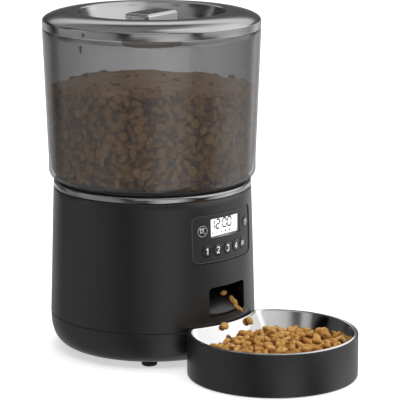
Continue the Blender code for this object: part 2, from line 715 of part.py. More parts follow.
def bowl_outline(inset):
    """The bowl's plan about the drum's axis: a circle hollowed by the drum, with rounded horns."""
    radius, bite = BOWL_R - inset, BOWL_BITE_R + inset
    corner = BOWL_CORNER - 0.2 * inset
    distance = -BOWL_Y
    y = -((bite + corner) ** 2 - (radius - corner) ** 2 + distance**2) / (2 * distance)
    x = math.sqrt((bite + corner) ** 2 - y**2)
    outer_angle = math.degrees(math.atan2(y - BOWL_Y, x))
    bite_angle = math.degrees(math.atan2(y, x))
    right = arc(x, y, corner, outer_angle, bite_angle + 180, 5)
    front = arc(0, BOWL_Y, radius, -180 - outer_angle, outer_angle, 33)
    back = arc(0, 0, bite, bite_angle, -180 - bite_angle, 11)
    left = [(-px, py) for px, py in right[::-1]]
    return front + right[1:] + back[1:] + left[1:-1]


def lofted(name, rings, material):
    """A skin over bowl outlines given as (inset, height), closed by its first and last outline."""
    mesh = bpy.data.meshes.new(name)
    shape = bmesh.new()
    loops = []
    for inset, z in rings:
        loops.append([shape.verts.new((x * MM, y * MM, z * MM)) for x, y in bowl_outline(inset)])
    count = len(loops[0])
    for lower, upper in zip(loops, loops[1:]):
        for i in range(count):
            j = (i + 1) % count
            shape.faces.new((lower[i], lower[j], upper[j], upper[i]))
    shape.faces.new(loops[0][::-1])
    shape.faces.new(loops[-1])
    bmesh.ops.recalc_face_normals(shape, faces=shape.faces)
    shape.to_mesh(mesh)
    shape.free()
    return add_object(name, mesh, material)


def make_bowl_holder():
    """A cup with a rebate for the steel bowl's rim and a tongue that docks under the drum."""
    rim = HOLDER_RIM
    rings = [(0.8, 0.5), (0.0, 1.3), (0.0, rim - 0.7), (0.5, rim), (1.2, rim), (1.2, rim - 1.3)]
    rings += [(2.8, rim - 1.3), (2.8, 2.8)]
    holder = lofted("bowl_holder", rings, BLACK_SATIN)
    combine(holder, block("dock_tongue", (40.0, 36.0, 2.4), (0, -82.0, 2.1), None, 0.4), "UNION")
    for index, (x, y) in enumerate(PAD_PLACES, 1):
        combine(holder, cylinder(f"pad_pocket_{index}", 6.3, -1, 1.9, None, (x, y, 0), 24))
        pad = [(0, 1.6), (6.0, 1.6), (6.0, 0.3), (5.7, 0), (0, 0)]
        turned(f"bowl_pad_{index}", pad, RUBBER, (x, y, 0), 20)


PAD_PLACES = [(-46.0, -118.0), (46.0, -118.0), (0.0, -204.0)]


def make_steel_bowl():
    """Thin pressed steel: floor, sloping side and a flat rim, then back down the inside."""
    top = STEEL_RIM
    outside = [(24.0, 8.0), (18.0, 8.8), (13.6, 12.4), (3.4, top - 1.6), (1.5, top - 1.5), (1.5, top - 0.4)]
    inside = [(1.9, top), (3.3, top), (4.3, top - 0.9), (14.5, 12.8), (18.6, 9.7), (24.0, 8.9)]
    lofted("steel_bowl", outside + inside, STEEL)


def shade_round_parts():
    for obj in PARTS.objects:
        if obj.type == "MESH":
            obj.data.shade_smooth()
            obj.data.set_sharp_from_angle(angle=math.radians(35))


def main():
    make_base_cover()
    make_screws()
    make_feet()
    make_housing()
    make_power_inlet()
    make_trim_ring()
    make_chamber()
    make_rotor()
    make_shaft_and_stirrer()
    make_gears()
    make_motor_and_plate()
    make_chute()
    make_fascia()
    make_buttons()
    make_display_and_board()
    make_battery_bay()
    make_battery_door()
    make_hopper()
    make_lid()
    make_seal()
    make_handle()
    make_drying_basket()
    make_bowl_holder()
    make_steel_bowl()
    shade_round_parts()


main()
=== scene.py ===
import json
import math

import bmesh
import bpy
import numpy as np
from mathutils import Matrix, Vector

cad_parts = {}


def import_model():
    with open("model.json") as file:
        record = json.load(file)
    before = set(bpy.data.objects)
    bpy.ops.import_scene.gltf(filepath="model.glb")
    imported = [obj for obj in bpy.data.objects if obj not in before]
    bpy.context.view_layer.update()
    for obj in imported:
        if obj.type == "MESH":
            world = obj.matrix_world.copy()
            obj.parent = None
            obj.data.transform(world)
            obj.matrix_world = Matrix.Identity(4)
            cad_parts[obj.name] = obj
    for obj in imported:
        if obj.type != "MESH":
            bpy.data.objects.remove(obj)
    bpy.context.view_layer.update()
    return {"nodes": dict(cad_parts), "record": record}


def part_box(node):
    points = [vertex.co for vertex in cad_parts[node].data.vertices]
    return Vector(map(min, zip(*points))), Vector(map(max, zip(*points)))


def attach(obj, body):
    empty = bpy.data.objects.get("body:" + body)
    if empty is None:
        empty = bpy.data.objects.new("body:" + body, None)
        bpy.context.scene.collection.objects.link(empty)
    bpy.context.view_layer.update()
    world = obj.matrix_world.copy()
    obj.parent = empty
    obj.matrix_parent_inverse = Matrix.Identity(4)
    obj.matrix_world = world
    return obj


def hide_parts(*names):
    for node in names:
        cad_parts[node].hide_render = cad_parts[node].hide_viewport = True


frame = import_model()
mm = 0.001

# The drum stands on its own axis, which the chrome ring shares. Sizes are in mm from that axis.
ringLow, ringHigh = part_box("trim_ring")
axisY = (ringLow.y + ringHigh.y) / 2 / mm


def hexColour(code):
    channels = [int(code[i:i + 2], 16) / 255 for i in (1, 3, 5)]
    linear = [c / 12.92 if c <= 0.04045 else ((c + 0.055) / 1.055) ** 2.4 for c in channels]
    return (*linear, 1.0)


def addNode(tree, kind, settings=None, links=None, feeds=None):
    # settings: socket, socket number or property -> value, and "stops" for the places and colours of a ramp;
    # links: socket -> output socket that feeds it; feeds: output of this node -> input socket of another
    node = tree.nodes.new(kind)
    for key, value in (settings or {}).items():
        if key == "stops":
            elements = node.color_ramp.elements
            for index, (spot, colour) in enumerate(value):
                element = elements[index] if index < 2 else elements.new(spot)
                element.position, element.color = spot, colour
        elif isinstance(key, int) or key in node.inputs:
            node.inputs[key].default_value = value
        else:
            setattr(node, key, value)
    for key, source in (links or {}).items():
        tree.links.new(source, node.inputs[key])
    for key, target in (feeds or {}).items():
        tree.links.new(node.outputs[key], target)
    return node


def newMaterial(name, settings):
    material = bpy.data.materials.new(name)
    material.use_nodes = True
    tree = material.node_tree
    shader = tree.nodes["Principled BSDF"]
    for key, value in settings.items():
        shader.inputs[key].default_value = value
    return material, tree, shader


def objectCoordinates(tree, scale=(1.0, 1.0, 1.0)):
    place = addNode(tree, "ShaderNodeTexCoord").outputs["Object"]
    return addNode(tree, "ShaderNodeMapping", {"Scale": scale}, {"Vector": place}).outputs["Vector"]


def perMillimetre(size):
    # scale of a pattern whose features are this many millimetres apart
    return 1 / (size * mm)


def smoothMesh(mesh, angle=35):
    mesh.shade_smooth()
    mesh.set_sharp_from_angle(angle=math.radians(angle))


def dress(piece, body, node=None):
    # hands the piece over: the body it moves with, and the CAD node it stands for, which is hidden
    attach(piece, body)
    if node:
        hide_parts(node)


def addPiece(name, mesh, material, smoothAngle=35):
    piece = bpy.data.objects.new(name, mesh)
    bpy.context.scene.collection.objects.link(piece)
    mesh.materials.clear()
    mesh.materials.append(material)
    smoothMesh(mesh, smoothAngle)
    return piece


def addMesh(name, vertices, faces, material, smoothAngle=35):
    mesh = bpy.data.meshes.new(name)
    mesh.from_pydata([tuple(v) for v in vertices], [], faces)
    return addPiece(name, mesh, material, smoothAngle)


def world(x, y, z):
    return (x * mm, (y + axisY) * mm, z * mm)


def boxCentre(node):
    low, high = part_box(node)
    return (low.x + high.x) / 2 / mm, (low.y + high.y) / 2 / mm - axisY


def arcPoints(cx, cy, radius, start, end, count):
    turns = np.radians(np.linspace(start, end, count))
    return [(cx + radius * math.cos(t), cy + radius * math.sin(t)) for t in turns]


def roundedCorners(points, radii, count=6):
    # fillets each inner corner of an open (radius, height) profile
    result = [points[0]]
    for before, corner, after, radius in zip(points, points[1:], points[2:], radii):
        a, b, c = (np.array(p, float) for p in (before, corner, after))
        toBack, toFront = np.linalg.norm(a - b), np.linalg.norm(c - b)
        back, ahead = (a - b) / toBack, (c - b) / toFront
        half = math.acos(max(-1, min(1, float(back @ ahead)))) / 2
        reach = min(radius / math.tan(half), toBack * 0.49, toFront * 0.49)
        start, end = b + back * reach, b + ahead * reach
        for t in np.linspace(0, 1, count + 1):
            result.append(tuple(start * (1 - t) ** 2 + b * 2 * t * (1 - t) + end * t ** 2))
    result.append(points[-1])
    return result


def superRound(rOuter, rLow, zTop, zLow, power, count):
    # a superellipse quarter, from the outer wall at zTop down to rLow at zLow
    points = []
    for t in np.linspace(0, math.pi / 2, count):
        r = rLow + (rOuter - rLow) * math.cos(t) ** (2 / power)
        z = zTop - (zTop - zLow) * math.sin(t) ** (2 / power)
        points.append((r, z))
    return points


def turned(profile, steps):
    # a skin turned about a vertical axis, in mm; a profile that starts off the axis closes on itself
    turns = np.radians(np.linspace(0, 360.0, steps, endpoint=False))
    vertices, index = [], []
    for r, z in profile:
        if r < 1e-6:
            index.append([len(vertices)] * steps)
            vertices.append((0.0, 0.0, z))
            continue
        index.append(list(range(len(vertices), len(vertices) + steps)))
        vertices += [(r * math.cos(t), r * math.sin(t), z) for t in turns]
    pairs = list(zip(index, index[1:]))
    if profile[0][0] > 1e-6:
        pairs.append((index[-1], index[0]))
    faces = []
    for upper, lower in pairs:
        for i in range(steps):
            j = (i + 1) % steps
            quad = [upper[i], lower[i], lower[j], upper[j]]
            face = [v for k, v in enumerate(quad) if v != quad[k - 1]]
            if len(face) > 2:
                faces.append(face)
    return vertices, faces


def turnedAt(profile, steps, centre=(0.0, 0.0)):
    vertices, faces = turned(profile, steps)
    return [world(x + centre[0], y + centre[1], z) for x, y, z in vertices], faces


def lathe(name, profile, material, steps=180, centre=(0.0, 0.0), smoothAngle=35):
    return addMesh(name, *turnedAt(profile, steps, centre), material, smoothAngle)


def loftFaces(count, rings, first=0):
    # the sides and both ends of a body made of rings of equal length
    faces = []
    for k in range(rings - 1):
        a, b = first + k * count, first + (k + 1) * count
        faces += [[a + i, a + (i + 1) % count, b + (i + 1) % count, b + i] for i in range(count)]
    last = first + (rings - 1) * count
    return faces + [list(range(first, first + count))[::-1], list(range(last, last + count))]


def outlineRectangle(halfWidth, halfHeight, corner, count=9):
    points = []
    for sx, sy, start in ((1, 1, 0), (-1, 1, 90), (-1, -1, 180), (1, -1, 270)):
        cx, cy = sx * (halfWidth - corner), sy * (halfHeight - corner)
        points += arcPoints(cx, cy, corner, start, start + 90, count)
    return points


def facing(angle):
    # the directions to the right of and out from the drum's wall, at this turn from the front
    turn = math.radians(angle)
    return Vector((math.cos(turn), math.sin(turn), 0)), Vector((math.sin(turn), -math.cos(turn), 0))


def capPlace(angle, z, face):
    # maps (right, up, out) on a flat face to the world
    side, out = facing(angle)
    centre = Vector((0, axisY, z)) + out * face

    def place(u, v, w):
        return (centre + side * u + Vector((0, 0, v)) + out * w) * mm

    return place


def onDrum(radius, angle, z):
    point = facing(angle)[1] * radius
    return Vector(world(point.x, point.y, z))


def cutterObject(vertices, faces):
    mesh = bpy.data.meshes.new("cutter")
    mesh.from_pydata([tuple(v) for v in vertices], [], faces)
    shape = bmesh.new()
    shape.from_mesh(mesh)
    bmesh.ops.recalc_face_normals(shape, faces=shape.faces)
    shape.to_mesh(mesh)
    shape.free()
    cutter = bpy.data.objects.new("cutter", mesh)
    bpy.context.scene.collection.objects.link(cutter)
    return cutter


def frontCutter(halfWidth, zLow, zHigh, corner):
    # a rounded bar along Y that opens the front wall
    points = outlineRectangle(halfWidth, (zHigh - zLow) / 2, corner)
    vertices = [world(x, y, z + (zLow + zHigh) / 2) for y in (-120.0, -70.0) for x, z in points]
    return cutterObject(vertices, loftFaces(len(points), 2))


def radialCutter(angle, z, radius, steps=40):
    # a round bar that points at the drum's axis
    place = capPlace(angle, z, 0)
    turns = np.linspace(0, 2 * math.pi, steps, endpoint=False)
    vertices = [place(radius * math.cos(t), radius * math.sin(t), w) for w in (60, 120) for t in turns]
    return cutterObject(vertices, loftFaces(steps, 2))


def boxCutter(size, centre, turn=0.0):
    mesh = bpy.data.meshes.new("cutter")
    shape = bmesh.new()
    bmesh.ops.create_cube(shape, size=1.0)
    bmesh.ops.scale(shape, vec=Vector(size) * mm, verts=shape.verts)
    shape.to_mesh(mesh)
    shape.free()
    cutter = bpy.data.objects.new("cutter", mesh)
    cutter.location = world(*centre)
    cutter.rotation_euler.z = math.radians(turn)
    bpy.context.scene.collection.objects.link(cutter)
    return cutter


def applyModifiers(piece):
    graph = bpy.context.evaluated_depsgraph_get()
    mesh = bpy.data.meshes.new_from_object(piece.evaluated_get(graph))
    piece.modifiers.clear()
    piece.data = mesh


def cutWith(piece, cutters, operation="DIFFERENCE", smoothAngle=35):
    # applies the Booleans and removes the tools
    for cutter in cutters:
        boolean = piece.modifiers.new("cut", "BOOLEAN")
        boolean.operation = operation
        boolean.object = cutter
    applyModifiers(piece)
    for cutter in cutters:
        bpy.data.objects.remove(cutter, do_unlink=True)
    smoothMesh(piece.data, smoothAngle)
    return piece


studio = {
    "front": 48.4, "away": 1913.6, "aside": 43.05, "height": 550.7, "pitch": 12.25, "lens": 194.3,
    "paper": "#f0f0f0", "paperGlow": 0.55, "paperReach": 6.0, "paperDepth": 0.0003,
    # place, aim, size in metres and power of each lamp
    "lamps": {"keyBox": ((-0.9, -0.7, 1.6), (0, 0, 0.12), (0.7, 0.7), 9),
              "topBox": ((0.2, 0.1, 1.7), (0, 0, 0.1), (1.0, 1.0), 10)},
}
# What the surfaces mirror, by the height of the mirrored direction: where a strip starts and is full, then
# its brightness by the turn from the camera's side of the studio, positive to the right.
panels = {
    "hopperWalls": (None, [
        (-180, 0.6), (-135, 0.4), (-124, 0.3), (-100, 0.3), (-88, 0.45), (-40, 0.4), (-30, 0.12), (-6, 0.12),
        (12, 1.0), (30, 1.05), (46, 0.35), (56, 0.04), (66, 0.04), (84, 0.9), (104, 1.3), (118, 0.9), (150, 0.6),
        (180, 0.6)]),
    "drumWalls": ((-0.24, -0.2), [
        (-180, 0.8), (-150, 0.8), (-128, 0.06), (-118, 0.06), (-110, 0.5), (-60, 0.45), (-38, 0.34), (-33, 0.03),
        (-22, 0.03), (-18, 0.62), (20, 0.85), (40, 0.7), (44, 0.05), (53, 0.05), (58, 0.7), (100, 0.8),
        (119, 0.6), (126, 0.5), (134, 0.7), (142, 1.2), (160, 0.8), (180, 0.8)]),
    "gentleSlopes": ((-0.02, 0.08), [
        (-180, 0.14), (-140, 0.06), (-124, 0.05), (-117, 0.5), (-110, 0.06), (-96, 0.08), (-88, 0.75),
        (-74, 0.8), (-60, 0.22), (-48, 0.3), (-34, 0.16), (20, 0.16), (32, 0.1), (42, 0.1), (52, 1.3), (84, 1.7),
        (118, 1.7), (134, 0.2), (180, 0.14)]),
    "lowerSlopes": ((0.3, 0.38), [
        (-180, 1.5), (-160, 1.0), (-130, 0.3), (-118, 0.4), (-105, 0.06), (-70, 0.06), (-61, 0.5), (-53, 0.55),
        (-46, 0.1), (-37, 0.1), (-26, 0.6), (-6, 0.85), (16, 0.9), (22, 0.12), (36, 0.12), (46, 1.2), (118, 1.5),
        (150, 1.1), (180, 1.5)]),
    "steepSlopes": ((0.54, 0.6), [
        (-180, 0.1), (-172, 0.1), (-160, 0.35), (-120, 0.4), (-95, 0.4), (-60, 0.42), (-34, 0.55), (-16, 0.6),
        (8, 0.6), (22, 1.2), (60, 1.4), (95, 1.5), (150, 1.5), (165, 0.8), (174, 0.1), (180, 0.1)]),
    "ceiling": ((0.7, 0.78), [
        (-180, 0.3), (-150, 0.35), (-60, 0.4), (-20, 0.24), (15, 0.26), (50, 1.1), (100, 1.4), (150, 1.3),
        (168, 0.4), (180, 0.3)]),
}


def makeCamera():
    turn = math.radians(studio["front"])
    heading = Vector((math.sin(turn), math.cos(turn), 0))
    side = Vector((math.cos(turn), -math.sin(turn), 0))
    place = Vector((0, axisY, studio["height"])) - heading * studio["away"] + side * studio["aside"]
    camera = bpy.data.objects.new("camera", bpy.data.cameras.new("camera"))
    camera.data.lens = studio["lens"]
    camera.data.clip_end = 20
    camera.location = place * mm
    camera.rotation_euler = (math.radians(90 - studio["pitch"]), 0, -turn)
    bpy.context.scene.collection.objects.link(camera)
    bpy.context.scene.camera = camera


def makeLamps():
    for name, (place, target, size, power) in studio["lamps"].items():
        light = bpy.data.lights.new(name, "AREA")
        light.shape = "RECTANGLE"
        light.size, light.size_y = size
        light.energy = power
        lamp = bpy.data.objects.new(name, light)
        lamp.location = place
        lamp.rotation_euler = (Vector(target) - Vector(place)).to_track_quat("-Z", "Y").to_euler()
        bpy.context.scene.collection.objects.link(lamp)
        lamp.visible_glossy = False


def makeFloor():
    # white paper under the object; mirrors see the studio panels instead of it, as if it were a small sheet
    reach, z = studio["paperReach"], -studio["paperDepth"]
    mesh = bpy.data.meshes.new("floor")
    mesh.from_pydata([(-reach, -reach, z), (reach, -reach, z), (reach, reach, z), (-reach, reach, z)], [],
                     [[0, 1, 2, 3]])
    mesh.materials.append(newMaterial("whitePaperSweep", {
        "Base Color": hexColour(studio["paper"]), "Roughness": 0.9, "Emission Color": (1, 1, 1, 1),
        "Emission Strength": studio["paperGlow"]})[0])
    floor = bpy.data.objects.new("floor", mesh)
    floor.visible_glossy = False
    bpy.context.scene.collection.objects.link(floor)


def makeSky():
    sky = bpy.data.worlds.new("studio")
    bpy.context.scene.world = sky
    sky.use_nodes = True
    tree = sky.node_tree
    turn = math.radians(studio["front"])
    place = addNode(tree, "ShaderNodeTexCoord").outputs["Generated"]
    across = {}
    axes = {"away": (-math.sin(turn), -math.cos(turn), 0), "aside": (math.cos(turn), -math.sin(turn), 0)}
    for name, axis in axes.items():
        dot = addNode(tree, "ShaderNodeVectorMath", {"operation": "DOT_PRODUCT", 1: axis}, {0: place})
        across[name] = dot.outputs["Value"]
    bearing = addNode(tree, "ShaderNodeMath", {"operation": "ARCTAN2"}, {0: across["aside"], 1: across["away"]})
    around = addNode(tree, "ShaderNodeMapRange", {"From Min": -math.pi, "From Max": math.pi},
                     {"Value": bearing.outputs[0]})
    height = addNode(tree, "ShaderNodeSeparateXYZ", {}, {0: place})
    light = None
    for band, levels in panels.values():
        stops = [((angle + 180) / 360, (level, level, level, 1)) for angle, level in levels]
        strip = addNode(tree, "ShaderNodeValToRGB", {"stops": stops}, {"Fac": around.outputs["Result"]})
        if band is None:
            light = strip.outputs["Color"]
            continue
        raised = addNode(tree, "ShaderNodeMapRange", {"From Min": band[0], "From Max": band[1]},
                         {"Value": height.outputs["Z"]})
        both = addNode(tree, "ShaderNodeMix", {"data_type": "RGBA"},
                       {0: raised.outputs["Result"], 6: light, 7: strip.outputs["Color"]})
        light = both.outputs[2]
    # the camera sees plain white
    seen = addNode(tree, "ShaderNodeLightPath")
    addNode(tree, "ShaderNodeMix", {"data_type": "RGBA", 7: (1, 1, 1, 1)},
            {0: seen.outputs["Is Camera Ray"], 6: light}, {2: tree.nodes["Background"].inputs["Color"]})
    bpy.context.scene.view_settings.view_transform = "Standard"


makeCamera()
makeFloor()
makeSky()
makeLamps()
print("stage ready")


def mouldedAbs(name, colour, roughness, grain=0.5):
    # black ABS from a lightly textured mould: an even satin sheen with a fine grain that breaks highlights.
    # A real spark texture is about 0.1 mm; it is drawn at 0.5 mm or coarser so that it shows.
    settings = {"Base Color": hexColour(colour), "Roughness": roughness, "IOR": 1.54}
    material, tree, shader = newMaterial(name, settings)
    place = {"Vector": objectCoordinates(tree)}
    fine = addNode(tree, "ShaderNodeTexNoise", {"Scale": perMillimetre(grain), "Detail": 3.0}, place)
    wide = addNode(tree, "ShaderNodeTexNoise", {"Scale": perMillimetre(45), "Detail": 2.0}, place)
    addNode(tree, "ShaderNodeMapRange", {"To Min": roughness - 0.04, "To Max": roughness + 0.05},
            {"Value": wide.outputs["Fac"]}, {"Result": shader.inputs["Roughness"]})
    addNode(tree, "ShaderNodeBump", {"Strength": 0.18, "Distance": 0.00004}, {"Height": fine.outputs["Fac"]},
            {"Normal": shader.inputs["Normal"]})
    return material


def smokeStyrene(name, tint, edgeTint, haze, hazeColour, roughness, shine=(0.0, 0.16)):
    # smoke-grey clear SAN, moulded: what is behind shows through a grey cast, edge-on walls look darker,
    # and the skin mirrors the studio. The bend of light in so thin a wall is left out.
    material = bpy.data.materials.new(name)
    material.use_nodes = True
    tree = material.node_tree
    tree.nodes.remove(tree.nodes["Principled BSDF"])
    edge = addNode(tree, "ShaderNodeLayerWeight", {"Blend": 0.5})
    depth = addNode(tree, "ShaderNodeMix", {"data_type": "RGBA", 6: hexColour(tint), 7: hexColour(edgeTint)},
                    {0: edge.outputs["Facing"]})
    clear = addNode(tree, "ShaderNodeBsdfTransparent", {}, {"Color": depth.outputs[2]})
    cloud = addNode(tree, "ShaderNodeBsdfDiffuse", {"Color": hexColour(hazeColour)})
    body = addNode(tree, "ShaderNodeMixShader", {"Fac": haze}, {1: clear.outputs[0], 2: cloud.outputs[0]})
    flow = addNode(tree, "ShaderNodeTexNoise", {"Scale": perMillimetre(50), "Detail": 1.0},
                   {"Vector": objectCoordinates(tree)})
    bump = addNode(tree, "ShaderNodeBump", {"Strength": 0.04, "Distance": 0.0004},
                   {"Height": flow.outputs["Fac"]})
    wave = {"Normal": bump.outputs["Normal"]}
    gloss = addNode(tree, "ShaderNodeBsdfGlossy", {"Color": (1, 1, 1, 1), "Roughness": roughness}, wave)
    rim = addNode(tree, "ShaderNodeFresnel", {"IOR": 1.57}, wave)
    most = addNode(tree, "ShaderNodeMath", {"operation": "MAXIMUM", 1: shine[0]}, {0: rim.outputs["Fac"]})
    least = addNode(tree, "ShaderNodeMath", {"operation": "MINIMUM", 1: shine[1]}, {0: most.outputs[0]})
    # the inner face of a wall would mirror all of the light, so only the outer face mirrors
    behind = addNode(tree, "ShaderNodeNewGeometry")
    outer = addNode(tree, "ShaderNodeMath", {"operation": "MULTIPLY_ADD", 1: -1.0, 2: 1.0},
                    {0: behind.outputs["Backfacing"]})
    share = addNode(tree, "ShaderNodeMath", {"operation": "MULTIPLY"},
                    {0: least.outputs[0], 1: outer.outputs[0]})
    addNode(tree, "ShaderNodeMixShader", {},
            {"Fac": share.outputs[0], 1: body.outputs[0], 2: gloss.outputs[0]},
            {"Shader": tree.nodes["Material Output"].inputs["Surface"]})
    return material


def platedChrome(name):
    # bright chrome plating: mirror-like, with faint waves from the moulding under it
    settings = {"Base Color": hexColour("#a2a2a5"), "Metallic": 1.0, "Roughness": 0.09}
    material, tree, shader = newMaterial(name, settings)
    wave = addNode(tree, "ShaderNodeTexNoise", {"Scale": perMillimetre(14), "Detail": 1.0},
                   {"Vector": objectCoordinates(tree)})
    addNode(tree, "ShaderNodeBump", {"Strength": 0.06, "Distance": 0.0003}, {"Height": wave.outputs["Fac"]},
            {"Normal": shader.inputs["Normal"]})
    return material


def polishedSteel(name):
    # drawn and polished stainless steel: clear reflections slightly smeared by polishing lines round the bowl.
    # Real lines are about 0.05 mm apart; they are drawn about 0.8 mm apart so that they show.
    material, tree, shader = newMaterial(name, {"Base Color": hexColour("#dcdcdb"), "Metallic": 1.0})
    lines = addNode(tree, "ShaderNodeTexNoise", {"Scale": perMillimetre(5), "Detail": 4.0},
                    {"Vector": objectCoordinates(tree, (1.0, 1.0, 6.0))})
    addNode(tree, "ShaderNodeMapRange", {"To Min": 0.07, "To Max": 0.16}, {"Value": lines.outputs["Fac"]},
            {"Result": shader.inputs["Roughness"]})
    addNode(tree, "ShaderNodeBump", {"Strength": 0.03, "Distance": 0.0002}, {"Height": lines.outputs["Fac"]},
            {"Normal": shader.inputs["Normal"]})
    return material


def zincSteel(name):
    # zinc-plated steel: pale grey with a crystalline mottle
    material, tree, shader = newMaterial(name, {"Base Color": hexColour("#b9bcc0"), "Metallic": 1.0})
    cells = addNode(tree, "ShaderNodeTexVoronoi", {"Scale": perMillimetre(2.5)},
                    {"Vector": objectCoordinates(tree)})
    addNode(tree, "ShaderNodeMapRange", {"To Min": 0.28, "To Max": 0.45}, {"Value": cells.outputs["Distance"]},
            {"Result": shader.inputs["Roughness"]})
    return material


def mottled(name, settings, light, dark, size, bump):
    # a moulded soft or matt material whose colour drifts between two close tones
    material, tree, shader = newMaterial(name, settings)
    noise = addNode(tree, "ShaderNodeTexNoise", {"Scale": perMillimetre(size), "Detail": 4.0},
                    {"Vector": objectCoordinates(tree)})
    addNode(tree, "ShaderNodeValToRGB", {"stops": [(0.3, hexColour(dark)), (0.7, hexColour(light))]},
            {"Fac": noise.outputs["Fac"]}, {"Color": shader.inputs["Base Color"]})
    addNode(tree, "ShaderNodeBump", {"Strength": bump, "Distance": 0.0001}, {"Height": noise.outputs["Fac"]},
            {"Normal": shader.inputs["Normal"]})
    return material


def bakedKibble(name, paintedGlow=None):
    # extruded and baked kibble: tan crust, darker in the pits and where it browned, dry and dusty.
    # Each piece carries its own tone in the "tone" attribute; the glow is painted light, a faint emission that
    # stands in for light scattered inside the fill.
    material, tree, shader = newMaterial(name, {"Roughness": 0.72, "IOR": 1.45})
    place = {"Vector": objectCoordinates(tree)}
    crust = addNode(tree, "ShaderNodeTexNoise", {"Scale": perMillimetre(2.2), "Detail": 6.0, "Roughness": 0.65},
                    place)
    patch = addNode(tree, "ShaderNodeTexNoise", {"Scale": perMillimetre(9), "Detail": 2.0}, place)
    tone = addNode(tree, "ShaderNodeAttribute", {"attribute_name": "tone"})
    shift = addNode(tree, "ShaderNodeMath", {"operation": "MULTIPLY_ADD", 1: 0.4},
                    {0: tone.outputs["Fac"], 2: patch.outputs["Fac"]})
    drop = addNode(tree, "ShaderNodeMath", {"operation": "MULTIPLY", 1: 0.55}, {0: shift.outputs[0]})
    blend = addNode(tree, "ShaderNodeMath", {"operation": "MULTIPLY_ADD", 1: 0.45},
                    {0: crust.outputs["Fac"], 2: drop.outputs[0]})
    browns = [(0.32, hexColour("#7c4e20")), (0.82, hexColour("#d5a766")), (0.56, hexColour("#b98640"))]
    addNode(tree, "ShaderNodeValToRGB", {"stops": browns}, {"Fac": blend.outputs[0]},
            {"Color": shader.inputs["Base Color"]})
    addNode(tree, "ShaderNodeBump", {"Strength": 0.55, "Distance": 0.0007}, {"Height": crust.outputs["Fac"]},
            {"Normal": shader.inputs["Normal"]})
    if paintedGlow:
        shader.inputs["Emission Color"].default_value = hexColour(paintedGlow)
        shader.inputs["Emission Strength"].default_value = 1.0
    return material


def litDisplay(name):
    # backlit reflective display: an even milky white that glows a little
    material, tree, shader = newMaterial(name, {
        "Base Color": hexColour("#f4f6f4"), "Roughness": 0.35, "Emission Color": hexColour("#fbfdfb"),
        "Emission Strength": 1.1})
    noise = addNode(tree, "ShaderNodeTexNoise", {"Scale": perMillimetre(12)},
                    {"Vector": objectCoordinates(tree)})
    addNode(tree, "ShaderNodeBump", {"Strength": 0.02, "Distance": 0.0001}, {"Height": noise.outputs["Fac"]},
            {"Normal": shader.inputs["Normal"]})
    return material


blackShell = mouldedAbs("mouldedAbsSatin", "#121213", 0.34)
blackPanel = mouldedAbs("mouldedAbsPanel", "#151517", 0.42, 0.7)
blackButton = mouldedAbs("mouldedAbsButton", "#0e0e10", 0.3, 0.8)
blackChute = mouldedAbs("mouldedAbsChute", "#0b0b0c", 0.3, 0.9)
greyBezel = mouldedAbs("mouldedAbsBezel", "#4c4c4d", 0.3, 0.8)
# lighter grey for the fascia's bead: painted highlight
beadPaintedHighlight = mouldedAbs("mouldedAbsBeadPaintedHighlight", "#3a3a3b", 0.3, 0.8)
smokeWall = smokeStyrene("smokeSanHopper", "#dadadb", "#a2a2a4", 0.08, "#8a8683", 0.12, (0.0, 0.2))
smokeLid = smokeStyrene("smokeSanLid", "#8e8e8f", "#3c3c3d", 0.45, "#121212", 0.15, (0.4, 0.42))
smokeGrip = smokeStyrene("smokeSanGrip", "#8a8a8b", "#3a3a3b", 0.5, "#121212", 0.16, (0.4, 0.5))
# a lighter copy of the grip's smoke for its long faces: painted light
gripFacePaintedLight = smokeStyrene("smokeSanGripFacePaintedLight", "#a8a8a9", "#8a8a8b", 0.8, "#cfcfcf", 0.2, (0.3, 0.4))
clearSilicone = smokeStyrene("clearSiliconeSeal", "#eeeeee", "#cccccc", 0.05, "#b0b0b0", 0.3)
clearWindow = smokeStyrene("clearAcrylicWindow", "#fbfbfb", "#e8e8e8", 0.0, "#ffffff", 0.05)
chrome = platedChrome("brightChromePlating")
steel = polishedSteel("polishedStainlessSteel")
zinc = zincSteel("zincPlatedSteel")
nylon = mottled("mouldedNylonNatural", {"Roughness": 0.42, "IOR": 1.53}, "#efece2", "#dedacd", 8, 0.15)
rubber = mottled("mouldedRubberBlack", {"Roughness": 0.85, "IOR": 1.52}, "#232323", "#151515", 1.2, 0.4)
silicone = mottled("mouldedSiliconeGrey", {"Roughness": 0.55, "IOR": 1.41}, "#b5b5b2", "#a4a4a1", 6, 0.2)
bagCloth = mottled("spunbondBagWhite", {"Roughness": 0.9}, "#efefea", "#d5d5cf", 0.8, 0.5)
circuitBoard = mottled("solderMaskedBoardGreen", {"Roughness": 0.4}, "#1f6b3c", "#155330", 5, 0.2)
cellSleeve = mottled("shrinkSleeveBronze", {"Roughness": 0.3, "Metallic": 0.6}, "#a07a35", "#7d5c22", 20, 0.1)
displayInk = mottled("displaySegmentInk", {"Roughness": 0.4}, "#141515", "#0c0d0d", 4, 0.05)
printWhite = mottled("screenPrintWhite", {"Roughness": 0.5}, "#eeeeee", "#dcdcdc", 2, 0.1)
# dim grey for the arcs on the button caps: painted highlight
highlightArcGrey = mottled("paintedHighlightArcGrey", {"Roughness": 0.45}, "#757575", "#666666", 2, 0.1)
printGrey = mottled("screenPrintGrey", {"Roughness": 0.45}, "#b8b8b8", "#9a9a9a", 2, 0.1)
markInk = mottled("embossedMarkGrey", {"Roughness": 0.4}, "#3b3b3b", "#2c2c2c", 2, 0.1)
kibble = bakedKibble("bakedKibble")
# the crumbs glow a little: painted light for the light scattered inside the fill
crumbsPaintedGlow = bakedKibble("bakedKibbleCrumbsPaintedGlow", "#62513f")
displayWhite = litDisplay("backlitDisplayWhite")
print("materials ready")


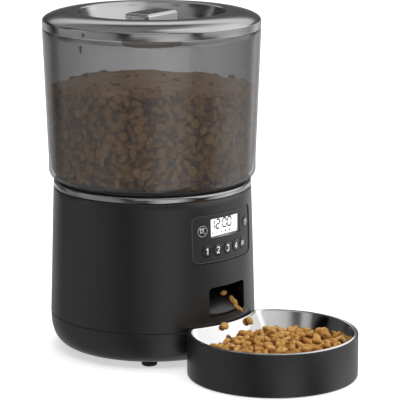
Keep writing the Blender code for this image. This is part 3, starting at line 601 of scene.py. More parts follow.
drum = {
    "seam": 35.0, "housingTop": 150.4, "rSeam": 93.15, "rTop": 89.5, "wall": 2.4,
    "baseZ": 5.4, "baseFlat": 73.8, "baseR": 93.0, "round": 2.4, "doorY": 8.0, "ringInner": 86.1, "footR": 7.0,
    "outlet": (23.4, 45.2, 72.2, 4.0), "panel": (39.0, 94.1, 138.5, 7.0),
}


def housingRadius(z):
    share = (z - drum["seam"]) / (drum["housingTop"] - drum["seam"])
    return drum["rSeam"] + (drum["rTop"] - drum["rSeam"]) * share


def makeHousing():
    wall, top, low = drum["wall"], drum["housingTop"], drum["seam"] + 0.15
    outside = [(drum["rTop"] - wall, top), (drum["rTop"] - 0.3, top), (drum["rTop"], top - 0.4)]
    heights = np.linspace(top - 6, low + 4, 8)
    outside += [(housingRadius(z), z) for z in heights]
    outside += [(housingRadius(low), low + 0.5), (housingRadius(low) - 0.35, low)]
    inside = [(housingRadius(low) - wall, low), (housingRadius(144) - wall, 144.0), (drum["rTop"] - 5, 145.9),
              (drum["rTop"] - 5, 147.9), (drum["rTop"] - wall, 147.9)]
    shell = lathe("housing_shell_skin", outside + inside, blackShell, 288)
    cutWith(shell, [frontCutter(*drum["outlet"]), frontCutter(*drum["panel"])])
    dress(shell, "drum", "housing_shell")


def makeBaseCover():
    rim, low = drum["seam"] - 0.15, drum["baseZ"]
    outside = [(drum["baseR"] - 0.3, rim), (drum["baseR"], rim - 0.4)]
    outside += superRound(drum["baseR"], drum["baseFlat"], rim - 1.2, low, drum["round"], 26)
    inside = superRound(88.2, 72.0, rim, low + 2.4, drum["round"], 12)[::-1]
    profile = [(0, low + 2.4)] + inside + [(88.2, 39.0), (90.2, 39.0), (90.2, rim)] + outside + [(0, low)]
    cover = lathe("base_cover_skin", profile, blackShell, 240)
    # the battery door's opening with the ear for its screw, then the sunk screw holes
    doorX, doorY = boxCentre("battery_door")[0], drum["doorY"]
    cutters = [boxCutter((101.6, 60.8, 8), (doorX, doorY, low + 1)),
               boxCutter((14.8, 14.0, 8), (doorX, doorY + 35.0, low + 1))]
    sunk = [(0, 20), (2.1, 20), (2.1, low + 1.2), (4.0, low + 1.2), (4.4, low - 0.1), (4.4, 0), (0, 0)]
    for index in range(1, 5):
        cutters.append(cutterObject(*turnedAt(sunk, 32, boxCentre(f"base_screw_{index}"))))
    cutWith(cover, cutters)
    dress(cover, "drum", "base_cover")


def makeTrimRing():
    low, high = ringLow.z / mm, ringHigh.z / mm
    r, inner = drum["rTop"], drum["ringInner"]
    profile = [(inner, high), (r - 1.5, high)]
    for t in np.linspace(0.2, math.pi / 2, 8):
        profile.append((r - 1.5 + 1.5 * math.sin(t), high - 1.8 + 1.8 * math.cos(t)))
    profile += [(r, low + 1.0), (r - 0.3, low + 0.3), (r - 0.9, low), (inner, low)]
    ring = lathe("trim_ring_skin", profile, chrome, 240, smoothAngle=50)
    dress(ring, "drum", "trim_ring")


def makeFeet():
    for index in range(1, 5):
        top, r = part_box(f"foot_{index}")[1].z / mm, drum["footR"]
        profile = [(0, top), (r - 0.3, top), (r, top - 0.3), (r, 3.3), (r - 0.35, 3.0), (r, 2.7), (r, 1.4)]
        profile += [(r - 0.4, 0.5), (r - 1.3, 0), (4.2, 0), (3.8, 0.5), (0, 0.5)]
        foot = lathe(f"foot_{index}_skin", profile, rubber, 48, boxCentre(f"foot_{index}"))
        dress(foot, "drum", f"foot_{index}")


makeHousing()
makeBaseCover()
makeTrimRing()
makeFeet()
print("drum ready")


hopper = {"top": 293.0, "rTop": 97.7, "rLow": 93.4, "lowZ": 176.8, "wall": 1.6, "footZ": 156.5}


def hopperRadius(z):
    share = (z - hopper["lowZ"]) / (hopper["top"] - hopper["lowZ"])
    return hopper["rLow"] + (hopper["rTop"] - hopper["rLow"]) * share


def makeHopper():
    top, wall, foot = hopper["top"], hopper["wall"], hopper["footZ"]
    lip = hopperRadius(top)
    outside = [(lip - wall + 0.4, top), (lip - 0.4, top), (lip, top - 0.5)]
    outside += [(hopperRadius(z), z) for z in np.linspace(top - 8, hopper["lowZ"], 12)]
    outside += arcPoints(hopper["rLow"] - 7.2, foot + 9.5, 7.2, -2, -80, 12)
    outside += [(86.4, foot + 0.2), (85.6, foot - 0.4), (85.6, 151.3), (85.2, 150.9)]
    inside = [(83.4, 150.9), (83.4, foot + 1.8), (52.8, foot - 3.2), (52.8, 150.9), (50.6, 150.9),
              (50.6, foot - 2.6), (51.4, foot - 2.2)]
    shoulder = [(58, foot + 0.4), (86.6, foot + 4.2), (90.4, foot + 10), (hopperRadius(180) - wall, 180)]
    inside += roundedCorners(shoulder, (7, 7), 6)
    inside += [(hopperRadius(z) - wall, z) for z in np.linspace(190, top - 0.5, 10)]
    shell = lathe("hopper_skin", outside + inside, smokeWall, 240, smoothAngle=45)
    dress(shell, "hopper", "hopper")


lid = {
    "top": 308.4, "rim": 293.4, "outer": 97.8, "crown": 70.0, "shoulder": 299.7, "dish": 292.0, "mark": -28.0,
    "under": [(92.2, 293.4), (91.6, 294.6), (74.0, 295.2), (66.0, 293.6), (60.0, 289.6), (0, 289.6)],
}


def makeLid():
    # the dish in the middle, the rounded crown, the straight rim, then back along the underside
    top, rim, dish, outer = lid["top"], lid["rim"], lid["dish"], lid["outer"]
    slope = [(20, dish), (58.5, dish), (64.4, 304.0), (66.0, 308.0), (69.5, top)]
    profile = [(0, dish)] + roundedCorners(slope, (7, 3, 2.2), 8)
    wide, tall = outer - lid["crown"], top - lid["shoulder"]
    for t in np.linspace(0.0, math.pi / 2, 34):
        profile.append((lid["crown"] + wide * math.sin(t), lid["shoulder"] + tall * math.cos(t)))
    profile.append((outer - 0.5, rim))
    cover = lathe("lid_skin", profile + lid["under"], smokeLid, 240, smoothAngle=50)
    out = facing(lid["mark"])[1] * outer
    cutWith(cover, [boxCutter((7.0, 1.6, 2.4), (out.x, out.y, rim), lid["mark"])], smoothAngle=50)
    dress(cover, "lid", "lid")


handle = {"size": (48.0, 26.0), "turn": 8.3, "low": 292.3, "high": 307.3, "corner": 3.2}


def makeHandle():
    # a hollow grip, open below, its long edges rounded and a slot sunk into each end
    half = (handle["size"][0] / 2, handle["size"][1] / 2)
    low, high = handle["low"], handle["high"]
    inset = [(0.0, low), (0.0, high - 2.6), (0.2, high - 1.6), (0.8, high - 0.7), (1.7, high - 0.15),
             (2.7, high)]
    rings = []
    for offset, z in inset:
        corner = max(handle["corner"] - offset * 0.6, 0.8)
        rings.append((outlineRectangle(half[0] - offset, half[1] - offset, corner, 7), z))
    turn = math.radians(handle["turn"])
    cos, sin = math.cos(turn), math.sin(turn)
    vertices = [world(x * cos - y * sin, x * sin + y * cos, z) for outline, z in rings for x, y in outline]
    faces = loftFaces(len(rings[0][0]), len(rings))
    grip = addMesh("lid_handle_skin", vertices, faces, smokeGrip, 40)
    bore = (handle["size"][0] - 6, handle["size"][1] - 6, high - low)
    hollow = boxCutter(bore, (0, 0, low + (high - low) / 2 - 3), handle["turn"])
    slots = []
    for end in (-1, 1):
        x = end * (half[0] + 1.0)
        slots.append(boxCutter((4.0, 15.0, 8.0), (x * cos, x * sin, low + 7.2), handle["turn"]))
    cutWith(grip, [hollow, *slots], smoothAngle=40)
    # the long faces get a lighter, hazier copy of the smoke: painted light for the light they catch from the
    # side
    long = Vector((-sin, cos, 0))
    grip.data.materials.append(gripFacePaintedLight)
    for face in grip.data.polygons:
        if abs(face.normal.dot(long)) > 0.9 and face.center.z > (low + 0.5) * mm:
            face.material_index = 1
    dress(grip, "lid", "lid_handle")


makeHandle()
makeHopper()
makeLid()
print("hopper ready")


bowl = {"y": -142.5, "r": 74.9, "bite": 93.6, "corner": 9.0, "rim": 38.6, "steelRim": 39.0}


def bowlOutline(inset, frontCount=96, cornerCount=12, backCount=40):
    radius, bite = bowl["r"] - inset, bowl["bite"] + inset
    corner = bowl["corner"] - 0.2 * inset
    distance = -bowl["y"]
    y = -((bite + corner) ** 2 - (radius - corner) ** 2 + distance ** 2) / (2 * distance)
    x = math.sqrt((bite + corner) ** 2 - y ** 2)
    outerAngle = math.degrees(math.atan2(y - bowl["y"], x))
    biteAngle = math.degrees(math.atan2(y, x))
    right = arcPoints(x, y, corner, outerAngle, biteAngle + 180, cornerCount)
    front = arcPoints(0, bowl["y"], radius, -180 - outerAngle, outerAngle, frontCount)
    back = arcPoints(0, 0, bite, biteAngle, -180 - biteAngle, backCount)
    left = [(-px, py) for px, py in right[::-1]]
    return front + right[1:] + back[1:] + left[1:-1]


def loftedBowl(name, rings, material, smoothAngle=40):
    vertices = [world(x, y, z) for inset, z in rings for x, y in bowlOutline(inset)]
    faces = loftFaces(len(vertices) // len(rings), len(rings))
    return addMesh(name, vertices, faces, material, smoothAngle)


def makeBowl():
    rim, top = bowl["rim"], bowl["steelRim"]
    rings = [(1.4, 0.5), (0.5, 0.7), (0.1, 1.3), (0.0, 2.2), (0.0, rim - 1.0), (0.12, rim - 0.5),
             (0.45, rim - 0.1), (0.8, rim), (1.15, rim - 0.1), (1.2, rim - 0.4), (1.2, rim - 1.3),
             (2.8, rim - 1.3), (2.8, 3.4), (3.4, 2.8)]
    holder = loftedBowl("bowl_holder_skin", rings, blackShell)
    tongue = boxCutter((40.0, 36.0, 2.4), (0, -82.0, 2.1))
    cutWith(holder, [tongue], "UNION")
    pockets = []
    for index in range(1, 4):
        pocket = turnedAt([(0, 1.9), (6.3, 1.9), (6.3, -1), (0, -1)], 40, boxCentre(f"bowl_pad_{index}"))
        pockets.append(cutterObject(*pocket))
    cutWith(holder, pockets)
    dress(holder, "tray", "bowl_holder")

    outside = [(24.0, 8.0), (20.0, 8.1), (17.0, 9.0), (14.6, 11.0), (13.2, 13.4), (3.4, top - 1.8),
               (3.0, top - 1.5), (1.5, top - 1.4), (1.25, top - 1.0), (1.3, top - 0.45), (1.5, top - 0.26)]
    inside = [(2.9, top - 0.08), (3.2, top), (3.5, top - 0.12), (3.9, top - 0.6), (4.3, top - 1.4),
              (14.0, 13.8), (15.2, 11.7), (17.4, 9.9), (20.2, 9.0), (24.0, 8.9)]
    dish = loftedBowl("steel_bowl_skin", outside + inside, steel, 50)
    dress(dish, "bowl", "steel_bowl")


makeBowl()
print("bowl ready")


panel = {
    "sunk": 0.7, "thick": 2.2, "display": (19.3, 116.4, 133.4, 0.8), "hole": 5.45, "cap": 5.2,
    "row": 105.3, "pitch": 7.6, "time": (-18.3, 123.9), "voice": (19.5, 123.4), "proud": 0.04,
}
buttons = {f"meal_button_{i + 1}": (panel["pitch"] * (i - 2), panel["row"]) for i in range(4)}
buttons.update({"ok_button": (2 * panel["pitch"], panel["row"]), "time_button": panel["time"],
                "voice_button": panel["voice"]})
display = {
    "digits": (("1", -12.9), ("2", -6.4), ("0", 2.3), ("0", 8.9)), "level": 2.1, "wide": 4.4, "tall": 8.0,
    "stroke": 1.5, "gap": 0.04,
}
buttonBody = {part: name for name, parts in frame["record"]["behaviour"]["bodies"].items() for part in parts}


def inkStrokes(name, strokes, width, place, material, body, thick=0.06):
    # printed lines: flattened ribbons that lie on the surface; place maps (right, up, out) to the world
    ring = [(-1.0, 0.0), (-0.8, 1.0), (0.8, 1.0), (1.0, 0.0), (0.8, -1.0), (-0.8, -1.0)]
    vertices, faces = [], []
    for stroke in strokes:
        line = np.array(stroke, float)
        ahead = np.gradient(line, axis=0)
        if np.allclose(line[0], line[-1]):
            ahead[0] = ahead[-1] = line[1] - line[-2]
        ahead /= np.maximum(np.linalg.norm(ahead, axis=1), 1e-9)[:, None]
        side = np.stack([-ahead[:, 1], ahead[:, 0]], axis=1)
        faces += loftFaces(len(ring), len(line), len(vertices))
        for point, across in zip(line, side):
            for share, level in ring:
                u, v = point + across * share * width / 2
                vertices.append(place(u, v, panel["proud"] + level * thick / 2))
    dress(addMesh(name, vertices, faces, material, 60), body)


def addPatches(name, shapes, place, material, body, thick=0.05):
    # filled printed shapes as thin closed plates
    vertices, faces = [], []
    for points in shapes:
        faces += loftFaces(len(points), 2, len(vertices))
        vertices += [place(u, v, panel["proud"] + lift) for lift in (-thick / 2, thick / 2) for u, v in points]
    dress(addMesh(name, vertices, faces, material, 30), body)


def wallPlace(angle, z, radiusAt):
    def place(u, v, w):
        radius = radiusAt(z + v) + w - panel["proud"]
        return onDrum(radius, angle + math.degrees(u / radius), z + v)

    return place


def segment(a, b, steps=6):
    return [(a[0] + (b[0] - a[0]) * t, a[1] + (b[1] - a[1]) * t) for t in np.linspace(0, 1, steps)]


def joined(*corners):
    points = []
    for a, b in zip(corners, corners[1:]):
        points += segment(a, b)
    return points


glyphs = {
    "1": [joined((-1.3, 1.75), (0.35, 2.75)), joined((0.35, 2.95), (0.35, -2.95))],
    "2": [arcPoints(0, 1.35, 1.45, 165, -35, 14) + joined((0.9, 0.1), (-1.6, -2.5)),
          joined((-1.75, -2.5), (1.75, -2.5))],
    "3": [arcPoints(-0.1, 1.35, 1.35, 155, -80, 14), arcPoints(-0.1, -1.25, 1.5, 80, -155, 14)],
    "4": [joined((0.75, -2.95), (0.75, 2.8)), joined((0.75, 2.7), (-1.8, -1.15)),
          joined((-1.9, -1.25), (2.0, -1.25))],
    "ok": [[(-1.75 + 1.15 * math.cos(t), 1.75 * math.sin(t)) for t in np.linspace(0, 2 * math.pi, 25)],
           joined((0.35, 1.9), (0.35, -1.9)), joined((2.2, 1.9), (0.5, -0.1)), joined((0.9, 0.3), (2.3, -1.9))],
}
glyphs["time"] = [
    arcPoints(-0.5, 0.55, 1.75, 0, 360, 25), joined((-0.5, 1.6), (-0.5, 0.5), (0.35, 0.5)),
    arcPoints(-1.85, 2.15, 0.75, 70, 200, 6), arcPoints(0.85, 2.15, 0.75, -20, 110, 6),
    joined((-1.7, -1.0), (-2.2, -1.7)), joined((2.0, -1.7), (3.0, -2.6)), joined((2.9, -1.6), (2.0, -2.5)),
]
glyphs["voice"] = [
    arcPoints(0, 0.9, 3.5, -32, 212, 26) + joined((-2.97, -0.95), (0, -4.4), (2.97, -0.95)),
    joined((-0.85, -2.0), (0, -2.8), (0.85, -2.0)),
]


def lockMarks():
    # moulded marks that line up when the lid is locked: a bar on the hopper, an arrow on the lid's rim
    hopperMark = wallPlace(-86, 284, lambda z: hopperRadius(z) + 0.02)
    bar = [(-1.1, -3.4), (1.1, -3.4), (1.1, 3.4), (-1.1, 3.4)]
    addPatches("lock_bar", [bar], hopperMark, markInk, "hopper")
    lidMark = wallPlace(-84, 296.6, lambda z: lid["outer"] + 0.02)
    addPatches("lock_arrow", [[(-1.4, 2.2), (-1.4, -2.2), (1.8, 0.0)]], lidMark, markInk, "lid")


def makeFascia():
    sunk, thick = panel["sunk"], panel["thick"]
    heights = np.linspace(141, 91, 12)
    outer = [(housingRadius(z) - sunk, z) for z in heights]
    inner = [(housingRadius(z) - sunk - thick, z) for z in heights[::-1]]
    fascia = lathe("panel_fascia_skin", outer + inner, blackPanel, 288)
    halfWidth, low, high, corner = drum["panel"]
    cutWith(fascia, [frontCutter(halfWidth - 0.35, low + 0.35, high - 0.35, corner - 0.35)], "INTERSECT")
    cutters = [frontCutter(*panel["display"])]
    cutters += [radialCutter(angle, z, panel["hole"]) for angle, z in buttons.values()]
    cutWith(fascia, cutters)
    bevel = fascia.modifiers.new("edges", "BEVEL")
    bevel.width, bevel.segments, bevel.limit_method = 0.35 * mm, 2, "ANGLE"
    bevel.angle_limit = math.radians(50)
    bevel.harden_normals = True
    applyModifiers(fascia)
    dress(fascia, "drum", "panel_fascia")
    addBead()


def addBead():
    # the fascia's raised edge, a fine rolled bead in a lighter grey than the panel: painted highlight along the
    # edge
    halfWidth, low, high, corner = drum["panel"]
    outline = outlineRectangle(halfWidth - 1.5, (high - low) / 2 - 1.5, corner - 1.0, 10)
    line = []
    for a, b in zip(outline, outline[1:] + outline[:1]):
        count = max(2, int(math.dist(a, b) / 2))
        line += segment(a, b, count)[:-1]
    line.append(line[0])

    def place(u, v, w):
        z = (low + high) / 2 + v
        radius = housingRadius(z) - panel["sunk"] + w
        return onDrum(radius, math.degrees(math.asin(u / radius)), z)

    inkStrokes("panel_bead", [line], 0.8, place, beadPaintedHighlight, "drum", 0.5)


def makeButton(name, angle, z):
    face = housingRadius(z) - panel["sunk"] + 0.5
    flange = housingRadius(z) - panel["sunk"] - panel["thick"] - 0.65
    r = panel["cap"]
    profile = [(0, face - 0.12), (r - 2.2, face - 0.1), (r - 1.0, face)]
    for t in np.linspace(0, math.pi / 2, 7):
        profile.append((r - 0.7 + 0.7 * math.sin(t), face - 0.7 + 0.7 * math.cos(t)))
    profile += [(r, flange), (5.62, flange), (5.62, flange - 0.8), (1.8, flange - 0.8), (1.8, flange - 1.9)]
    profile += [(0, flange - 1.9)]
    flat, faces = turned(profile, 56)
    onFace = capPlace(angle, z, 0)
    points = [onFace(*point) for point in flat]
    body = buttonBody[name]
    dress(addMesh(f"{name}_skin", points, faces, blackButton, 40), body, name)
    key = {"ok_button": "ok", "time_button": "time", "voice_button": "voice"}.get(name, name[-1])
    width = {"time": 0.45, "voice": 0.36, "ok": 0.55}.get(key, 1.05)
    place = capPlace(angle, z, face - 0.1)
    inkStrokes(f"{name}_print", glyphs[key], width, place, printWhite, body)
    if key not in ("time", "voice"):
        # a grey arc on the upper edge of the cap: painted highlight from the light above
        arc = [arcPoints(0, 0, r - 0.35, 35, 118, 16)]
        inkStrokes(f"{name}_arc", arc, 0.42, place, highlightArcGrey, body)
    if key == "voice":
        turns = np.linspace(0, 2 * math.pi, 24, endpoint=False)
        blob = [(0.95 * math.cos(t), 0.75 + 1.75 * math.sin(t)) for t in turns]
        addPatches(f"{name}_mark", [blob], place, printWhite, body)
    if key == "time":
        ring = [arcPoints(0, 0, r - 0.45, 0, 360, 49)]
        inkStrokes(f"{name}_ring", ring, 0.5, capPlace(angle, z, face - 0.05), printGrey, body)


def sevenSegments(digit, u, v):
    lit = {"0": "abcdef", "1": "bc", "2": "abged"}[digit]
    wide, tall, half, gap = display["wide"], display["tall"], display["stroke"] / 2, display["gap"]
    x0, x1, y0, y1 = u - wide / 2, u + wide / 2, v - tall / 2, v + tall / 2
    lines = {"a": (x0, y1, x1, y1), "g": (x0, v, x1, v), "d": (x0, y0, x1, y0), "f": (x0, v, x0, y1),
             "b": (x1, v, x1, y1), "e": (x0, y0, x0, v), "c": (x1, y0, x1, v)}
    shapes = []
    for key in lit:
        ax, ay, bx, by = lines[key]
        if ay == by:
            ax, bx = ax + gap, bx - gap
            shapes.append([(ax, ay), (ax + half, ay - half), (bx - half, by - half), (bx, by),
                           (bx - half, by + half), (ax + half, ay + half)])
        else:
            ay, by = ay + gap, by - gap
            shapes.append([(ax, ay), (ax + half, ay + half), (bx + half, by - half), (bx, by),
                           (bx - half, by - half), (ax - half, ay + half)])
    return shapes


def makeBezel(face):
    # a sloping grey frame between the fascia's opening and the glass
    halfWidth, low, high, corner = panel["display"]
    middle, halfHeight = (low + high) / 2, (high - low) / 2
    outer = outlineRectangle(halfWidth - 0.1, halfHeight - 0.1, corner, 5)
    inner = [(x * 0.945 + 0.35, y * 0.93 + 0.1) for x, y in outer]
    back = face - axisY - 1.45
    rings = []
    for outline, depth in ((outer, None), (inner, back), (inner, back + 0.4), (outer, back + 0.4)):
        ring = []
        for x, y in outline:
            z = middle + y
            front = -math.sqrt((housingRadius(z) - panel["sunk"] - 0.15) ** 2 - x ** 2) + 0.35
            ring.append(world(x, front if depth is None else depth, z))
        rings.append(ring)
    count = len(outer)
    vertices = [point for ring in rings for point in ring]
    faces = []
    for k in range(4):
        a, b = k * count, ((k + 1) % 4) * count
        faces += [[a + i, b + i, b + (i + 1) % count, a + (i + 1) % count] for i in range(count)]
    dress(addMesh("display_bezel", vertices, faces, greyBezel, 30), "drum")


def makeDisplay():
    low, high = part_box("display_window")
    middle = (low.z + high.z) / 2 / mm
    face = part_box("display_module")[0].y / mm

    def place(u, v, w):
        return Vector((u, face - w, middle + v)) * mm

    shapes = []
    for digit, u in display["digits"]:
        shapes += sevenSegments(digit, u, display["level"])
    for v in (3.6, 0.1):
        shapes.append([(-2.2 + x, v + y) for x, y in outlineRectangle(0.65, 0.65, 0.15, 3)])
    for index, u in enumerate((-13.6, -7.8, -2.0, 3.8, 8.8)):
        half = 0.6 if index < 3 else 1.0
        shapes.append([(u + x, -5.6 + y) for x, y in outlineRectangle(half, 0.7, 0.2, 3)])
        shapes.append([(u + x, -4.7 + y) for x, y in outlineRectangle(half * 0.5, 0.2, 0.1, 3)])
    addPatches("display_digits", shapes, place, displayInk, "drum")
    makeBezel(face)


lockMarks()
makeFascia()
for buttonName, (buttonAngle, buttonZ) in buttons.items():
    makeButton(buttonName, buttonAngle, buttonZ)
makeDisplay()
print("panel ready")


food = {"seed": 7, "spacing": 7.7, "top": 242.0, "long": 10.8, "disc": 9.0}


def roundBall(level):
    ball = bmesh.new()
    bmesh.ops.create_icosphere(ball, subdivisions=level, radius=1.0)
    points = np.array([v.co[:] for v in ball.verts])
    faces = np.array([[v.index for v in face.verts] for face in ball.faces])
    ball.free()
    return points, faces


def kibbleShapes(level, rng, count=9):
    # discs with a dimple and waisted "bones", lumpy as extruded dough is after baking; sizes in mm
    ball, faces = roundBall(level)
    shapes = []
    for index in range(count):
        p = ball.copy()
        if index % 2:
            half = food["long"] / 2
            waist = 1 - rng.uniform(0.16, 0.34) * np.exp(-(p[:, 0] / 0.42) ** 2)
            bend = rng.uniform(-0.5, 0.9)
            q = p * (half, half * 0.56, half * 0.5)
            q[:, 1:] *= waist[:, None]
            q[:, 1] += bend * (p[:, 0] ** 2 - 0.4)
        else:
            half = food["disc"] / 2
            ring = np.hypot(p[:, 0], p[:, 1])
            q = np.sign(p) * np.abs(p) ** (0.92, 0.92, 0.8) * (half, half * rng.uniform(0.86, 1.0), half * 0.62)
            q[:, 2] *= 1 - 0.42 * np.exp(-(ring / 0.42) ** 2)
        for wave in range(5):
            turn = rng.normal(size=3) * (1.6 + wave)
            q += p * (0.26 / (1 + wave * 0.6)) * np.sin(p @ turn + rng.uniform(0, 6))[:, None]
        shapes.append(q)
    return shapes, faces


def dropPieces(count, spots, floorAt, spacing, rng, tries=12, ceiling=None):
    # lets round pieces fall one by one, each into the lowest of a few places
    centres = np.zeros((count, 3))
    done = 0
    for _ in range(count):
        tried = spots(rng, tries)
        rest = floorAt(tried)
        if done:
            gap = ((tried[:, None, :] - centres[None, :done, :2]) ** 2).sum(-1)
            reach = spacing ** 2 - gap
            tall = np.where(reach > 0, centres[None, :done, 2] + np.sqrt(np.maximum(reach, 0)), -1e9)
            rest = np.maximum(rest, tall.max(axis=1))
        over = rest - (ceiling(tried) if ceiling else 1e9)
        pick = int(np.argmin(np.where(over > 0, rest + 1e6, rest)))
        if over[pick] > 0:
            continue
        centres[done] = (*tried[pick], rest[pick])
        done += 1
    return centres[:done]


def turnsFor(centres, flat, rng, wall=None):
    # a long axis and a thin axis for each piece; beside a wall the thin axis points at the wall
    turns = []
    for centre in centres:
        thin = np.array([0, 0, 1.0]) + rng.normal(size=3) * flat
        if wall is not None and wall(centre):
            thin = np.array([centre[0], centre[1], 0]) / max(np.hypot(*centre[:2]), 1e-6)
            thin += rng.normal(size=3) * 0.2
        thin /= np.linalg.norm(thin)
        long = rng.normal(size=3)
        long -= thin * (long @ thin)
        long /= np.linalg.norm(long)
        turns.append(np.stack([long, np.cross(thin, long), thin]))
    return turns


def insideHopper(points):
    # pieces that meet the wall or the floor press flat against it
    out = np.hypot(points[:, 0], points[:, 1] - axisY)
    foot, wall = hopper["footZ"], hopper["wall"]
    low = np.interp(out, [50.6, 58, 86.6], [foot - 2.4, foot + 0.7, foot + 4.6])
    points[:, 2] = np.where(out > 50.6, np.maximum(points[:, 2], low), points[:, 2])
    most = np.interp(points[:, 2], [160.7, 166.5, 180.0, hopper["top"]],
                     [86.0, 89.8, hopperRadius(180) - wall - 0.4, hopper["rTop"] - wall - 0.4])
    most = np.where(points[:, 2] < 157.0, 49.8, most)
    share = np.minimum(1.0, most / np.maximum(out, 1.0))
    points[:, 0] *= share
    points[:, 1] = axisY + (points[:, 1] - axisY) * share
    return points


def makeKibble(name, centres, turns, level, rng, body):
    shapes, faces = kibbleShapes(level, rng)
    vertices, allFaces, tones, start = [], [], [], 0
    for centre, turn in zip(centres, turns):
        shape = shapes[rng.integers(len(shapes))] * rng.uniform(0.88, 1.06)
        vertices.append(shape @ turn + np.array([centre[0], centre[1] + axisY, centre[2]]))
        allFaces.append(faces + start)
        tones.append(np.full(len(shape), rng.uniform(0, 1)))
        start += len(shape)
    points, triangles = np.concatenate(vertices), np.concatenate(allFaces)
    points = (insideHopper(points) if body == "hopper" else points) * mm
    mesh = bpy.data.meshes.new(name)
    mesh.vertices.add(len(points))
    mesh.vertices.foreach_set("co", points.astype(np.float32).ravel())
    mesh.loops.add(triangles.size)
    mesh.loops.foreach_set("vertex_index", triangles.astype(np.int32).ravel())
    mesh.polygons.add(len(triangles))
    mesh.polygons.foreach_set("loop_start", np.arange(0, triangles.size, 3, dtype=np.int32))
    mesh.update(calc_edges=True)
    tone = mesh.attributes.new("tone", "FLOAT", "POINT")
    tone.data.foreach_set("value", np.concatenate(tones).astype(np.float32))
    dress(addPiece(name, mesh, kibble, 180), body)


def fillHopper():
    rng = np.random.default_rng(food["seed"])
    wall, half = hopper["wall"], 3.5

    def spots(rng, tries):
        turn, share = rng.uniform(0, 2 * math.pi, tries), np.sqrt(rng.uniform(0, 1, tries))
        out = share * (hopperRadius(240) - wall - half)
        return np.stack([out * np.cos(turn), out * np.sin(turn)], axis=1)

    def floorAt(tried):
        out = np.hypot(tried[:, 0], tried[:, 1])
        # clear of the stirrer, down the neck, then the hopper's floor and the foot of its wall
        level = np.interp(out, [0, 41, 44, 50, 52, 60, 84, 87.4, 88.5],
                          [176, 176, 150, 150, 156, 157.2, 160.4, 165, 172])
        return level + half - 0.6

    def ceiling(tried):
        return fillTop(tried[:, 0], tried[:, 1]) - half

    centres = dropPieces(6600, spots, floorAt, food["spacing"], rng, 10, ceiling)
    out = np.hypot(centres[:, 0], centres[:, 1])
    limit = hopperRadius(centres[:, 2]) - wall - half
    squeeze = np.minimum(1, limit / np.maximum(out, 1))
    centres[:, :2] *= squeeze[:, None]
    out = np.hypot(centres[:, 0], centres[:, 1])
    shown = (out > limit - 9) | (centres[:, 2] > fillTop(centres[:, 0], centres[:, 1]) - 14)

    def atWall(centre):
        return np.hypot(*centre[:2]) > hopperRadius(centre[2]) - wall - half - 3.5

    groups = np.array_split(np.flatnonzero(shown), 4)
    for index, group in enumerate(groups, 1):
        turns = turnsFor(centres[group], 0.7, rng, atWall)
        makeKibble(f"kibble_in_hopper_{index}", centres[group], turns, 3, rng, "hopper")
    for index, core in enumerate(np.array_split(centres[~shown], 2), 5):
        makeKibble(f"kibble_in_hopper_{index}", core, turnsFor(core, 0.7, rng), 2, rng, "hopper")
    print("hopper food", len(centres), "pieces,", int(shown.sum()), "showing")


def heapBowl():
    rng = np.random.default_rng(food["seed"] + 1)
    turn = math.radians(studio["front"])

    def slopeAt(tried):
        # height of the steel inside: flat to the foot of the wall, then the slope up to the rim
        x, y = tried[:, 0], tried[:, 1]
        toRim = bowl["r"] - np.hypot(x, y - bowl["y"])
        toDrum = np.hypot(x, y) - bowl["bite"]
        inset = np.minimum(toRim, toDrum)
        return np.interp(inset, [4.3, 14, 17.5, 22], [37.5, 13.8, 9.9, 8.9]), inset

    def heapAt(tried):
        x, y = tried[:, 0], tried[:, 1] - bowl["y"]
        right, away = x * math.cos(turn) - y * math.sin(turn), x * math.sin(turn) + y * math.cos(turn)
        inside = 46 + 1.42 * (right + 26) - away
        crown = np.clip(inside * 0.8, -20, 21.0)
        return 9.0 + crown - np.clip(right - 30, 0, 60) * 0.06 - np.clip(away - 20, 0, 60) * 0.1

    def spots(rng, tries):
        turn, out = rng.uniform(0, 2 * math.pi, tries), np.sqrt(rng.uniform(0, 1, tries)) * 68
        return np.stack([out * np.cos(turn), bowl["y"] + out * np.sin(turn)], axis=1)

    def floorAt(tried):
        height, inset = slopeAt(tried)
        return np.where(inset < 6.5, 1e4, height + 3.4 + np.where(height > 9.2, 1.6, 0))

    centres = dropPieces(1100, spots, floorAt, 7.6, rng, 10, heapAt)
    shown = centres[:, 2] > heapAt(centres[:, :2]) - 11
    makeKibble("kibble_in_bowl_1", centres[shown], turnsFor(centres[shown], 0.55, rng), 4, rng, "bowl")
    makeKibble("kibble_in_bowl_2", centres[~shown], turnsFor(centres[~shown], 0.55, rng), 3, rng, "bowl")
    print("bowl food", len(centres), "pieces,", int(shown.sum()), "showing")


def fillTop(x, y):
    # the fill stands higher where it was poured against the front of the wall
    turn = math.radians(studio["front"])
    ahead = np.clip((-math.sin(turn) * x - math.cos(turn) * y) / 88, 0, 1)
    return food["top"] + 9.0 * ahead ** 1.5 + 0.8 * np.sin(x / 17) + 0.6 * np.sin(y / 13 + 1)


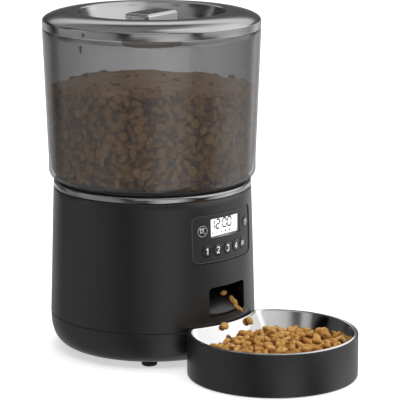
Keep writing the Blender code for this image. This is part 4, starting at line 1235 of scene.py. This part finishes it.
def crumbBed():
    # dust and broken bits level out the top of the fill
    rng = np.random.default_rng(food["seed"] + 5)
    rings, steps = 26, 120
    vertices, faces = [world(0.0, 0.0, food["top"] - 2.5)], []
    for k in range(1, rings + 1):
        for i in range(steps):
            angle, radius = 2 * math.pi * i / steps, 88.5 * k / rings
            x, y = radius * math.cos(angle), radius * math.sin(angle)
            lift = 0.7 * math.sin(x / 9.3 + 1) + 0.6 * math.sin(y / 7.7) + rng.uniform(-0.35, 0.35) - 0.9
            lift -= 5.0 if k == rings else 0.0
            vertices.append(world(x, y, fillTop(x, y) + lift))
    faces += [(0, 1 + i, 1 + (i + 1) % steps) for i in range(steps)]
    for k in range(rings - 1):
        a, b = 1 + k * steps, 1 + (k + 1) * steps
        faces += [(a + i, b + i, b + (i + 1) % steps, a + (i + 1) % steps) for i in range(steps)]
    bed = addMesh("kibble_crumbs", vertices, faces, crumbsPaintedGlow, 60)
    dress(bed, "hopper")


# place, long axis and thin axis of each single piece
loose = {
    "kibble_on_chute": ("drum", [((10.6, -76.2, 59.6), (0.9, 0.4, -0.1), (0.1, -0.6, 0.8)),
                                 ((16.2, -83.0, 52.6), (0.1, -0.75, -0.66), (0.5, -0.3, 0.8)),
                                 ((17.0, -87.2, 46.4), (0.5, -0.65, -0.6), (0.3, -0.6, 0.7))]),
    "kibble_on_slope": ("bowl", [((-13.2, -98.4, 38.0), (1.0, -0.1, 0.0), (0.1, -0.4, 0.9)),
                                 ((20.6, -98.9, 36.0), (0.8, 0.2, -0.3), (-0.1, -0.75, 0.6))]),
}


def looseFood():
    # three pieces on the chute, and two that came to rest on the steel slope below the outlet
    rng = np.random.default_rng(food["seed"] + 3)
    for name, (body, places) in loose.items():
        turns = []
        for _, long, thin in places:
            long, thin = np.array(long) / np.linalg.norm(long), np.array(thin, float)
            thin -= long * (thin @ long)
            thin /= np.linalg.norm(thin)
            turns.append(np.stack([long, np.cross(thin, long), thin]))
        makeKibble(name, np.array([place for place, _, _ in places]), turns, 4, rng, body)


fillHopper()
heapBowl()
looseFood()
crumbBed()
print("food ready")


carried = {
    "satin_black": blackShell, "gloss_black": blackChute, "smoke": smokeLid, "chrome": chrome,
    "polished_steel": steel, "zinc_steel": zinc, "white_nylon": nylon, "rubber": rubber,
    "silicone": silicone, "display": displayWhite, "board": circuitBoard, "cell": cellSleeve,
    "clear": clearWindow, "drying_bag": bagCloth,
}


def dressNodes():
    for part in frame["record"]["subparts"]:
        node = frame["nodes"][part["node"]]
        node.data.materials.clear()
        node.data.materials.append(carried[part["material_slot"]])
        smoothMesh(node.data, 35)
    frame["nodes"]["lid_seal"].data.materials[0] = clearSilicone
    for name, node in frame["nodes"].items():
        if name.endswith("_button") or name.startswith("meal_button"):
            node.data.materials[0] = blackButton


dressNodes()
print("carried parts ready")
